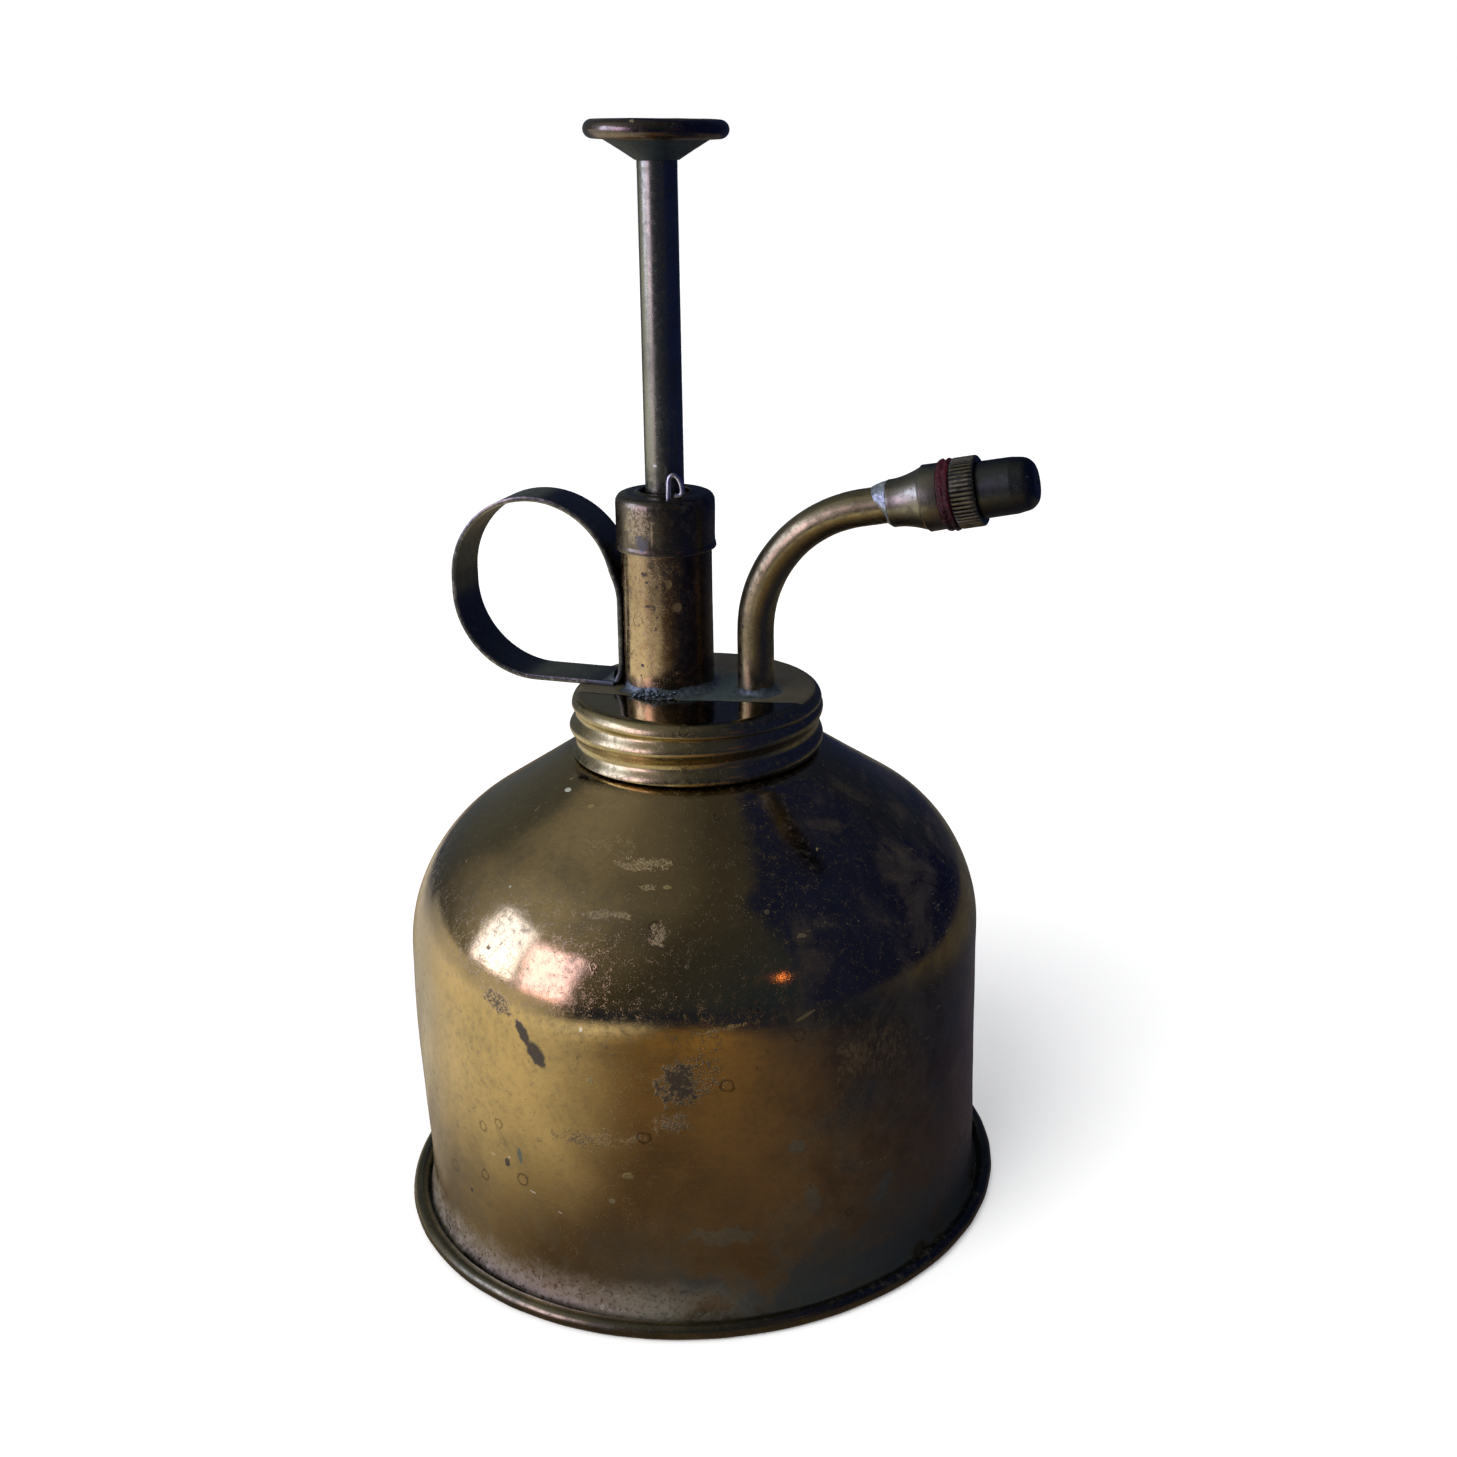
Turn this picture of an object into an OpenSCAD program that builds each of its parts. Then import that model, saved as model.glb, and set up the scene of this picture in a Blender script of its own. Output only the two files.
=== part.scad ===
// Brass hand-pump plant mister: a round tank with a screw-on lid that carries
// the pump barrel, the finger ring and the bent spout with its screw-on nozzle.
// Millimetres. Z up, tank axis on Z, tank rests on z = 0, spout points to +X.

/* [Tank] */
// Radius over the rolled edge of the base pan
base_radius = 50; // [45:0.5:55]
// Radius of the rolled edge's section
base_bead_radius = 1.3; // [1:0.1:2]
// Radius of the straight wall
wall_radius = 46.5; // [40:0.5:52]
// Height at which the wall starts to curve inwards
shoulder_start_z = 46.5; // [35:0.5:60]
// Radius of the shoulder's curve in section
shoulder_radius = 25; // [15:0.5:35]
// Angle through which the shoulder curves
shoulder_angle = 56; // [45:1:70]
// Sheet thickness of the tank
sheet = 0.8; // [0.6:0.1:1.5]

/* [Lid and neck thread] */
// Radius of the lid over its thread ridge
lid_radius = 20.5; // [18:0.1:24]
// Height of the lid's lower edge
lid_bottom_z = 77.5; // [70:0.5:85]
// Height of the lid's flat top
lid_top_z = 87.3; // [80:0.1:95]
// Radius of the rounded top edge
lid_edge_radius = 2; // [1:0.1:3]
// Depth of the rolled thread
thread_depth = 0.7; // [0.4:0.05:1]
// Rise of the thread in one turn
thread_pitch = 4.8; // [3:0.1:6]
// Height of the thread crest at angle 0
thread_zero_z = 78.97; // [77:0.01:81]

/* [Pump] */
// Distance of the pump axis behind the tank axis
barrel_offset = 4.8; // [0:0.1:8]
// Outer radius of the pump barrel
barrel_radius = 7.3; // [6:0.1:10]
// Inner radius of the pump barrel
bore_radius = 6.65; // [5:0.05:9]
// Height of the cap's top face
cap_top_z = 119.4; // [110:0.1:130]
// Radius of the cap
cap_radius = 7.9; // [7.5:0.1:10]
// Radius of the plunger rod
rod_radius = 3.1; // [2.5:0.05:4]
// Height at which the button meets the rod
button_foot_z = 170.9; // [150:0.1:190]
// Radius of the button over its rolled rim
button_radius = 11.1; // [9:0.1:15]
// Radius of the rolled rim's section
button_rim_radius = 1.45; // [1:0.05:2]
// Working stroke of the plunger
stroke = 48; // [30:1:50]

/* [Finger ring] */
// Width of the strip
ring_width = 8.3; // [6:0.1:12]
// Thickness of the strip
ring_thickness = 0.8; // [0.5:0.1:1.5]
// Outer radius of the loop's round ends
ring_radius = 14.4; // [12:0.1:20]
// Straight length between the loop's round ends
ring_straight = 2; // [0:0.1:6]

/* [Spout and nozzle] */
// Distance of the spout in front of the tank axis
spout_offset = 10.1; // [8:0.1:14]
// Outer radius of the spout tube
spout_radius = 2.95; // [2.5:0.05:4]
// Inner radius of the spout tube
spout_bore = 2.45; // [1.5:0.05:3]
// Height at which the bend starts
bend_start_z = 97.2; // [90:0.1:105]
// Radius of the bend at the tube's centre line
bend_radius = 22; // [15:0.5:40]
// Angle through which the spout bends
bend_angle = 78.3; // [60:0.1:90]
// Number of ridges on the knurled collar
knurl_count = 56; // [16:1:72]
// Thickness of the red sealing washer
washer_thickness = 2.3; // [1:0.1:4]
// Pitch of the nozzle thread
nozzle_pitch = 1; // [0.5:0.1:2]

/* [Hidden] */
$fn = 96;
eps = 0.02;
bx = -barrel_offset;
pan_top_z = 0.8;
neck_inner = 18.3;
neck_outer = 18.9;
neck_foot_z = 77.2;
neck_top_z = 84.7;
lid_wall = 0.6;
lid_valley = lid_radius - thread_depth;
lid_ceiling_z = 86.45;
lid_join_z = lid_top_z - lid_edge_radius;
cap_wall = 0.9;
cap_under_z = 118.2;
cap_skirt_z = 110.5;
barrel_top_z = 117.9;
plug_top_z = 38;
barrel_foot_z = 34;
plug_foot_z = 25;
inlet_seat_z = 29;
inlet_ball_radius = 2;
inlet_bore = 1.4;
outlet_seat_z = 78;
outlet_ball_radius = 2.1;
tube_radius = 2.4;
tube_bore = 1.8;
bend_end_x = spout_offset + bend_radius * (1 - cos(bend_angle));
bend_end_z = bend_start_z + bend_radius * sin(bend_angle);
tilt = 90 - bend_angle;
ferrule_gap = 4.9;
nozzle_x = bend_end_x + ferrule_gap * cos(tilt);
nozzle_z = bend_end_z + ferrule_gap * sin(tilt);
ferrule_length = 7.7;
spigot_radius = 3.4;
spigot_end = 15.4;
collar_start = ferrule_length + washer_thickness + 0.1;
collar_end = collar_start + 4.3;
tip_end = collar_end + 8.8;
clip_angle = -64;
clip_reach = 5.8;
cap_hole = rod_radius + 0.9;
spring_radius = 4.6;
spring_wire = 0.5;
piston_floor_z = 114.2;

// ---- shared shapes ----

module tube(r_out, r_in, z0, z1)
{
    difference()
    {
        translate([0, 0, z0])
            cylinder(r = r_out, h = z1 - z0);
        translate([0, 0, z0 - 1])
            cylinder(r = r_in, h = z1 - z0 + 2);
    }
}

// Puts a shape drawn along Z on the nozzle's axis, with z = 0 at the ferrule's start.
module on_nozzle()
{
    translate([nozzle_x, 0, nozzle_z])
        rotate([0, 90 - tilt, 0])
            children();
}

module on_barrel()
{
    translate([bx, 0, 0])
        children();
}

// Concave solder fillet around a round foot of radius r standing on height z.
module solder_fillet(r, z, spread)
{
    translate([0, 0, z])
        rotate_extrude()
            difference()
            {
                translate([r + eps, 0])
                    square([spread, spread]);
                translate([r + eps + spread * 1.15, spread * 1.15])
                    circle(r = spread * 1.05);
            }
}

// ---- rolled screw thread ----

// Unit ridge of width w, u pitches away from its crest.
function ridge(u, w) = abs(u) < w / 2 ? pow(cos(180 * u / w), 2) : 0;

function unit_clamp(v) = min(1, max(0, v));

// Height of the thread at angle a and height z, between angles a0 and a1 of the helix.
function thread_at(a, z, w, a0, a1, fade) =
    max([for (k = [-1:1])
        let (full = a + 360 * k)
        unit_clamp((full - a0) / fade) * unit_clamp((a1 - full) / fade)
            * ridge((z - thread_zero_z) / thread_pitch - full / 360, w)]);

// The lid's top edge swells back out to the full radius above the thread.
function lid_shoulder(z) = pow(unit_clamp((z - lid_join_z + 1.1) / 0.9), 2);

function lid_outer(a, z) =
    lid_valley + thread_depth * max(thread_at(a, z, 0.62, -400, 450, 50), lid_shoulder(z));

function neck_outer_at(a, z) = neck_outer + 0.8 * thread_at(a, z, 0.42, -35, 345, 40);

// Ring of points around Z at height row[0], with the radii row[1:].
function ring_points(row) =
    let (n = len(row) - 1)
    [for (i = [0:n - 1])
        [row[i + 1] * cos(360 * i / n), row[i + 1] * sin(360 * i / n), row[0]]];

// Shell between two stacks of rings, both listed from the bottom up. It is
// closed across its top when lidded, and open at both ends when not.
module rolled_shell(outer, inner, lidded)
{
    n = len(outer[0]) - 1;
    m = len(outer) - 1;
    k = len(inner) - 1;
    c = (m + 1) * n;
    quads = concat(
        [for (j = [0:m - 1]) for (i = [0:n - 1])
            [j * n + i, (j + 1) * n + i, (j + 1) * n + (i + 1) % n, j * n + (i + 1) % n]],
        [for (j = [0:k - 1]) for (i = [0:n - 1])
            [c + j * n + (i + 1) % n, c + (j + 1) * n + (i + 1) % n,
             c + (j + 1) * n + i, c + j * n + i]],
        [for (i = [0:n - 1]) [i, (i + 1) % n, c + (i + 1) % n, c + i]],
        lidded ? [] : [for (i = [0:n - 1])
            [m * n + (i + 1) % n, m * n + i, c + k * n + i, c + k * n + (i + 1) % n]]);
    caps = lidded ? [[for (i = [n - 1:-1:0]) m * n + i], [for (i = [0:n - 1]) c + k * n + i]] : [];
    polyhedron(points = [for (row = concat(outer, inner)) each ring_points(row)],
               faces = concat([for (q = quads) for (s = [0, 1]) [q[0], q[1 + s], q[2 + s]]], caps),
               convexity = 6);
}

// ---- tank ----

function shoulder(offset) =
    [for (a = [0:4:shoulder_angle])
        [wall_radius - shoulder_radius + (shoulder_radius - offset) * cos(a),
         shoulder_start_z + (shoulder_radius - offset) * sin(a)]];

// Point where the cone above the shoulder, moved in by offset, reaches radius r.
function cone_point(offset, r) =
    let (s = shoulder(offset), last = s[len(s) - 1])
    [r, last[1] + (last[0] - r) / tan(shoulder_angle)];

module reservoir_shell()
{
    color([0.55, 0.43, 0.2])
        rotate_extrude($fn = 180)
            polygon(concat(
                [[wall_radius + 0.7, pan_top_z], [wall_radius + 0.5, 1.7],
                 [wall_radius + 0.2, 3], [wall_radius, 5]],
                shoulder(0),
                [cone_point(0, 21.4), [20.6, 77.05], [19.5, neck_foot_z]],
                [[neck_inner - 0.1, neck_foot_z], [neck_inner - 0.1, neck_foot_z - sheet]],
                [cone_point(sheet, 20.6)],
                [for (i = [len(shoulder(sheet)) - 1:-1:0]) shoulder(sheet)[i]],
                [[wall_radius - sheet, 5], [wall_radius + 0.2 - sheet, 3],
                 [wall_radius + 0.5 - sheet, 1.7], [wall_radius + 0.7 - sheet, pan_top_z]]));
}

module neck_collar()
{
    n = 60;
    rows = 16;
    height = neck_top_z - neck_foot_z;
    outer = [for (j = [0:rows]) let (z = neck_foot_z + height * j / rows)
        concat([z], [for (i = [0:n - 1]) neck_outer_at(360 * i / n, z)])];
    inner = [for (row = outer)
        concat([row[0]], [for (i = [1:n]) row[i] - (neck_outer - neck_inner)])];
    color([0.58, 0.46, 0.22])
        rolled_shell(outer, inner, false);
}

module base_pan()
{
    color([0.52, 0.4, 0.19])
        rotate_extrude($fn = 180)
            union()
            {
                square([base_radius - base_bead_radius, pan_top_z]);
                translate([base_radius - base_bead_radius, base_bead_radius])
                    circle(r = base_bead_radius, $fn = 32);
            }
}

module base_solder()
{
    color([0.62, 0.58, 0.45])
        rotate_extrude($fn = 180)
            polygon([[wall_radius + 0.72, pan_top_z], [wall_radius + 0.86, pan_top_z],
                     [wall_radius + 0.88, 1.1], [wall_radius + 0.74, 1.3],
                     [wall_radius + 0.66, 1.2]]);
}

// ---- lid and what is soldered to it ----

module lid_gasket()
{
    color([0.16, 0.14, 0.12])
        tube(18.85, 17.4, neck_top_z + 0.05, lid_ceiling_z - 0.12);
}

module lid()
{
    n = 60;
    rows = 18;
    edge = lid_edge_radius;
    height = lid_join_z - lid_bottom_z;
    skirt = [for (j = [0:rows]) let (z = lid_bottom_z + height * j / rows)
        concat([z], [for (i = [0:n - 1]) lid_outer(360 * i / n, z)])];
    outer = concat(skirt,
        [for (t = [15:15:90]) let (r = lid_radius - edge * (1 - cos(t)))
            concat([lid_join_z + edge * sin(t)], [for (i = [1:n]) r])]);
    inner = concat(
        [for (row = skirt) concat([row[0]], [for (i = [1:n]) row[i] - lid_wall])],
        [for (t = [30:30:90]) let (r = lid_radius - edge + (edge - lid_wall) * cos(t))
            concat([lid_join_z + (lid_ceiling_z - lid_join_z) * sin(t)], [for (i = [1:n]) r])]);
    color([0.57, 0.45, 0.21])
        difference()
        {
            rolled_shell(outer, inner, true);
            on_barrel()
                translate([0, 0, lid_ceiling_z - 2])
                    cylinder(r = barrel_radius + 0.05, h = 6);
            translate([spout_offset, 0, lid_ceiling_z - 2])
                cylinder(r = spout_radius + 0.05, h = 6);
        }
}

module pump_barrel()
{
    color([0.68, 0.52, 0.2])
        on_barrel()
            tube(barrel_radius, bore_radius, barrel_foot_z, barrel_top_z);
}

module barrel_cap()
{
    color([0.5, 0.36, 0.18])
        on_barrel()
            difference()
            {
                rotate_extrude()
                    union()
                    {
                        translate([0, cap_skirt_z])
                            square([cap_radius, cap_top_z - cap_skirt_z - 1.8]);
                        translate([0, cap_top_z - 2])
                            square([cap_radius - 1.8, 2]);
                        translate([0, cap_top_z - 1])
                            square([cap_hole + 0.45, 1.35]);
                        intersection()
                        {
                            translate([cap_radius - 1.8, cap_top_z - 1.8])
                                circle(r = 1.8, $fn = 48);
                            translate([0, cap_top_z - 1.8])
                                square([cap_radius, 1.8]);
                        }
                        polygon([[cap_radius - 0.1, cap_skirt_z], [cap_radius + 0.15, cap_skirt_z],
                                 [cap_radius + 0.15, cap_skirt_z + 0.6],
                                 [cap_radius - 0.1, cap_skirt_z + 1.3]]);
                    }
                translate([0, 0, cap_skirt_z - 1])
                    cylinder(r = barrel_radius + 0.05, h = cap_under_z - cap_skirt_z + 1);
                translate([0, 0, cap_skirt_z])
                    cylinder(r = cap_hole, h = 12);
                rotate([0, 0, clip_angle])
                    translate([clip_reach, 0, cap_under_z - 1])
                        cylinder(r = 0.55, h = 4, $fn = 32);
            }
}

// Outline of the loop's outside or inside, from its two round ends.
module loop_outline(r)
{
    union()
    {
        circle(r = r, $fn = 160);
        translate([0, ring_straight])
            circle(r = r, $fn = 160);
        translate([-r, 0])
            square([2 * r, ring_straight]);
    }
}

module finger_ring()
{
    loop_x = bx - barrel_radius - ring_radius - 0.02;
    loop_z = lid_top_z + ring_radius;
    inside = ring_radius - ring_thickness;
    color([0.33, 0.3, 0.26])
        translate([0, ring_width / 2, 0])
            rotate([90, 0, 0])
                linear_extrude(height = ring_width)
                    translate([loop_x, loop_z])
                        difference()
                        {
                            union()
                            {
                                loop_outline(ring_radius);
                                translate([0, -ring_radius])
                                    square([ring_radius, ring_radius]);
                            }
                            loop_outline(inside);
                            translate([0, -inside])
                                square([inside, inside]);
                        }
}

module ring_corner_solder()
{
    x = bx - barrel_radius - ring_thickness - 0.04;
    z = lid_top_z + ring_thickness + 0.02;
    color([0.55, 0.6, 0.62])
        translate([0, 3.8, 0])
            rotate([90, 0, 0])
                linear_extrude(height = 7.6)
                    polygon([[x, z], [x, z + 1.7], [x - 0.4, z + 0.7], [x - 0.9, z + 0.3], [x - 2, z]]);
}

module ring_back_solder()
{
    x = bx - barrel_radius;
    color([0.5, 0.53, 0.55])
        difference()
        {
            translate([x, 1.6, lid_top_z + 2.2])
                cube([2, 1.9, 9]);
            on_barrel()
                translate([0, 0, lid_top_z])
                    cylinder(r = barrel_radius + eps, h = 20, $fn = 360);
        }
}

module barrel_solder()
{
    color([0.5, 0.55, 0.58])
        difference()
        {
            on_barrel()
                solder_fillet(barrel_radius, lid_top_z, 1.9);
            translate([bx - barrel_radius - 5, -10, lid_top_z - 1])
                cube([5 + eps, 20, 5]);
        }
}

module spout_tube()
{
    color([0.6, 0.47, 0.2])
        union()
        {
            translate([spout_offset, 0, 0])
                difference()
                {
                    translate([0, 0, 74])
                        cylinder(r = spout_radius, h = bend_start_z - 74);
                    translate([0, 0, 73])
                        cylinder(r = spout_bore, h = bend_start_z - 72);
                    translate([0, 5, 83])
                        rotate([90, 0, 0])
                            cylinder(r = 0.52, h = 10);
                }
            translate([spout_offset + bend_radius, 0, bend_start_z])
                rotate([90, 0, 0])
                    mirror([1, 0, 0])
                        rotate_extrude(angle = bend_angle)
                            translate([bend_radius, 0])
                                difference()
                                {
                                    circle(r = spout_radius);
                                    circle(r = spout_bore);
                                }
            on_nozzle()
                tube(spout_radius + 0.01, spout_bore - 0.01, -ferrule_gap - 0.3, 2.2);
        }
}

module spout_solder()
{
    color([0.6, 0.66, 0.68])
        translate([spout_offset, 0, 0])
            solder_fillet(spout_radius, lid_top_z, 1.6);
}

module nozzle_ferrule()
{
    color([0.6, 0.48, 0.24])
        on_nozzle()
            difference()
            {
                rotate_extrude()
                    polygon(concat(
                        [[0, 0], [3.75, 0]],
                        [for (i = [0:8]) [3.75 + 1.25 * pow(i / 8, 2), 0.6 + 4.8 * i / 8]],
                        [[5.22, 5.5], [5.22, ferrule_length], [spigot_radius, ferrule_length],
                         [spigot_radius, spigot_end], [0, spigot_end]]));
                translate([0, 0, -1])
                    cylinder(r = spout_radius + 0.05, h = 3.3);
                translate([0, 0, -1])
                    cylinder(r = 1.5, h = 20);
                translate([0, 0, 4])
                    cylinder(r = 2.3, h = 20);
            }
}

module nozzle_solder()
{
    color([0.78, 0.8, 0.82])
        on_nozzle()
            rotate_extrude()
                polygon([[spout_radius + eps, -1.7], [spout_radius + 0.2, -1.6],
                         [spout_radius + 0.32, -0.9], [3.7, -0.02], [spout_radius + eps, -0.02]]);
}

module swirl_core()
{
    color([0.7, 0.56, 0.28])
        on_nozzle()
            difference()
            {
                union()
                {
                    translate([0, 0, 9.5])
                        cylinder(r = 2.27, h = 5.7);
                    translate([0, 0, 15.1])
                        cylinder(r1 = 1.6, r2 = 0.9, h = 1.2);
                }
                for (k = [0:2])
                    rotate([0, 0, 120 * k])
                        translate([2.3, 0, 12])
                            rotate([25, 0, 0])
                                cube([1.4, 0.7, 12], center = true);
            }
}

// ---- foot valve and tubes inside the tank ----

module foot_valve_body()
{
    color([0.6, 0.48, 0.24])
        on_barrel()
            difference()
            {
                union()
                {
                    translate([0, 0, plug_foot_z])
                        cylinder(r = barrel_radius, h = barrel_foot_z - plug_foot_z - 0.02);
                    translate([0, 0, plug_foot_z])
                        cylinder(r = bore_radius - 0.04, h = plug_top_z - plug_foot_z);
                }
                translate([0, 0, inlet_seat_z])
                    cylinder(r = 2.6, h = 20);
                translate([0, 0, plug_foot_z - 1])
                    cylinder(r = inlet_bore, h = 20);
                translate([0, 0, plug_foot_z - 1])
                    cylinder(r = tube_radius + 0.04, h = 3.2);
                translate([0, 0, 31.2])
                    rotate([0, 90, 0])
                        cylinder(r = 1.2, h = 12);
                translate([5.2, 0, 31.2])
                    rotate([0, 90, 0])
                        cylinder(r = tube_radius + 0.04, h = 12);
                translate([0, 10, 34.4])
                    rotate([90, 0, 0])
                        cylinder(r = 0.62, h = 20);
            }
}

module inlet_stop_pin()
{
    color([0.72, 0.72, 0.72])
        on_barrel()
            translate([0, 6.5, 34.4])
                rotate([90, 0, 0])
                    cylinder(r = 0.6, h = 13, $fn = 32);
}

module inlet_ball()
{
    color([0.8, 0.8, 0.82])
        on_barrel()
            translate([0, 0, inlet_seat_z + 1.46])
                sphere(r = inlet_ball_radius);
}

module dip_tube()
{
    color([0.62, 0.49, 0.22])
        on_barrel()
            tube(tube_radius, tube_bore, 5.5, plug_foot_z + 2.1);
}

module strainer()
{
    color([0.6, 0.48, 0.24])
        on_barrel()
            difference()
            {
                translate([0, 0, 3.2])
                    cylinder(r = 3.5, h = 6.3);
                translate([0, 0, 4])
                    cylinder(r = 2.9, h = 1.5);
                translate([0, 0, 5.4])
                    cylinder(r = tube_radius + 0.04, h = 10);
                for (k = [0:2])
                    rotate([0, 0, 60 * k])
                        translate([-5, -0.5, 3.9])
                            cube([10, 1, 1.2]);
            }
}

module delivery_tube()
{
    elbow = 5.5;
    start_x = bx + 5.3;
    z = 31.2;
    color([0.62, 0.49, 0.22])
        union()
        {
            translate([start_x, 0, z])
                rotate([0, 90, 0])
                    tube(tube_radius, tube_bore, 0, spout_offset - elbow - start_x);
            translate([spout_offset - elbow, 0, z + elbow])
                rotate([90, 0, 0])
                    rotate([0, 0, -90])
                        rotate_extrude(angle = 90)
                            translate([elbow, 0])
                                difference()
                                {
                                    circle(r = tube_radius);
                                    circle(r = tube_bore);
                                }
            translate([spout_offset, 0, 0])
                tube(tube_radius, tube_bore, z + elbow, outlet_seat_z);
        }
}

module outlet_ball()
{
    color([0.8, 0.8, 0.82])
        translate([spout_offset, 0, outlet_seat_z + 1.1])
            sphere(r = outlet_ball_radius);
}

module outlet_stop_pin()
{
    color([0.72, 0.72, 0.72])
        translate([spout_offset, 3, 83])
            rotate([90, 0, 0])
                cylinder(r = 0.5, h = 6, $fn = 32);
}

// Bent end of soft wire that hooks into a small hole in the cap.
module wire_clip()
{
    w = 0.33;
    arch = 1.05;
    arch_z = cap_top_z + 1.9;
    color([0.8, 0.82, 0.84])
        on_barrel()
            rotate([0, 0, clip_angle])
                translate([clip_reach, 0, arch_z])
                    rotate([0, 0, 80])
                    {
                        translate([0, 0, -3.05])
                            cylinder(r = w, h = 3.05, $fn = 24);
                        translate([arch, 0, 0])
                            rotate([90, 0, 0])
                                mirror([1, 0, 0])
                                    rotate_extrude(angle = 180)
                                        translate([arch, 0])
                                            circle(r = w, $fn = 24);
                        translate([2 * arch, 0, -0.9])
                            cylinder(r = w, h = 0.9, $fn = 24);
                        translate([2 * arch, 0, -0.9])
                            sphere(r = w + 0.01, $fn = 24);
                        translate([2 * arch, 0, -0.9])
                            rotate([0, -100, 0])
                                cylinder(r = w + 0.005, h = 1, $fn = 24);
                    }
}

// ---- plunger ----

module button_top()
{
    rim = button_radius - button_rim_radius;
    rim_z = 175.5;
    color([0.42, 0.33, 0.2])
        on_barrel()
            rotate_extrude()
                union()
                {
                    translate([rim, rim_z])
                        circle(r = button_rim_radius, $fn = 48);
                    polygon([[0, rim_z + 0.2], [rim, rim_z + 0.2],
                             [rim, rim_z + 1.1], [rim - 1.6, rim_z + 1.2], [0, rim_z + 0.9]]);
                }
}

module button_cone()
{
    color([0.4, 0.42, 0.34])
        on_barrel()
            rotate_extrude()
                polygon([[rod_radius + 0.03, button_foot_z], [rod_radius + 0.5, button_foot_z],
                         [5, 172.05], [7, 173.35], [8.15, 174.3], [8.05, 175.1], [7.6, 175.1],
                         [6.6, 174], [4.8, 172.85], [rod_radius + 0.03, 172]]);
}

module plunger_rod()
{
    color([0.56, 0.46, 0.26])
        on_barrel()
            tube(rod_radius, rod_radius - 0.6, cap_under_z - 0.1, 175);
}

module rod_end_plug()
{
    color([0.6, 0.48, 0.24])
        on_barrel()
            union()
            {
                translate([0, 0, cap_under_z - 0.1])
                    cylinder(r = rod_radius - 0.63, h = 6);
                translate([0, 0, 111.4])
                    cylinder(r = 1.5, h = 8);
            }
}

module piston_back_washer()
{
    color([0.64, 0.52, 0.26])
        on_barrel()
            tube(6.3, 1.53, 116.7, cap_under_z - 0.12);
}

module leather_cup()
{
    color([0.3, 0.2, 0.12])
        on_barrel()
            rotate_extrude()
                polygon([[1.53, 115.2], [5.4, 115.2], [5.4, 111.2], [6.4, 111.2], [6.6, 112],
                         [6.6, 116], [6, 116.68], [1.53, 116.68]]);
}

module piston_front_washer()
{
    color([0.64, 0.52, 0.26])
        on_barrel()
            tube(5.2, 1.53, piston_floor_z, 115.18);
}

module piston_nut()
{
    color([0.66, 0.54, 0.28])
        on_barrel()
            difference()
            {
                translate([0, 0, 112])
                    cylinder(r = 3.2, h = piston_floor_z - 112.02, $fn = 6);
                translate([0, 0, 111])
                    cylinder(r = 1.53, h = 5);
            }
}

// Coil spring with closed ends between the foot valve and the piston.
module return_spring()
{
    turns = 15;
    per_turn = 20;
    sides = 6;
    steps = turns * per_turn;
    z0 = plug_top_z + spring_wire + 0.02;
    z1 = piston_floor_z - spring_wire - 0.02;
    closed = 1.15;
    open = (z1 - z0 - 2 * closed) / (turns - 2);
    heights = [for (s = [0:steps]) let (t = s / per_turn)
        t < 1 ? z0 + closed * t
        : t < turns - 1 ? z0 + closed + open * (t - 1)
        : z1 - closed * (turns - t)];
    points = [for (s = [0:steps]) for (k = [0:sides - 1])
        let (a = 360 * s / per_turn, r = spring_radius + spring_wire * cos(360 * k / sides))
        [r * cos(a), r * sin(a), heights[s] + spring_wire * sin(360 * k / sides)]];
    walls = [for (s = [0:steps - 1]) for (k = [0:sides - 1])
        let (m = (k + 1) % sides, p = s * sides, q = p + sides)
        [[p + k, q + k, q + m], [p + k, q + m, p + m]]];
    color([0.45, 0.45, 0.46])
        on_barrel()
            polyhedron(points = points,
                       faces = concat([for (w = walls) w[0]], [for (w = walls) w[1]],
                                      [[for (k = [0:sides - 1]) k]],
                                      [[for (k = [sides - 1:-1:0]) steps * sides + k]]),
                       convexity = 20);
}

// ---- nozzle ----

module nozzle_washer()
{
    color([0.5, 0.06, 0.08])
        on_nozzle()
            difference()
            {
                rotate_extrude()
                    union()
                    {
                        translate([0, ferrule_length + 0.05])
                            square([5.1, washer_thickness]);
                        translate([5.1, ferrule_length + 0.05 + washer_thickness / 4])
                            circle(r = washer_thickness / 4, $fn = 32);
                        translate([5.1, ferrule_length + 0.05 + washer_thickness * 3 / 4])
                            circle(r = washer_thickness / 4, $fn = 32);
                    }
                cylinder(r = spigot_radius + 0.1, h = 30);
            }
}

module nozzle_collar()
{
    outer = 5.5;
    groove = 0.3;
    color([0.36, 0.34, 0.2])
        on_nozzle()
            translate([0, 0, collar_start])
                difference()
                {
                    linear_extrude(height = collar_end - collar_start)
                        polygon([for (i = [0:knurl_count * 4 - 1])
                            let (a = 90 * i / knurl_count, r = i % 4 < 2 ? outer : outer - groove)
                            [r * cos(a), r * sin(a)]]);
                    translate([0, 0, -1])
                        cylinder(r = 4.24, h = 10);
                }
}

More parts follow.
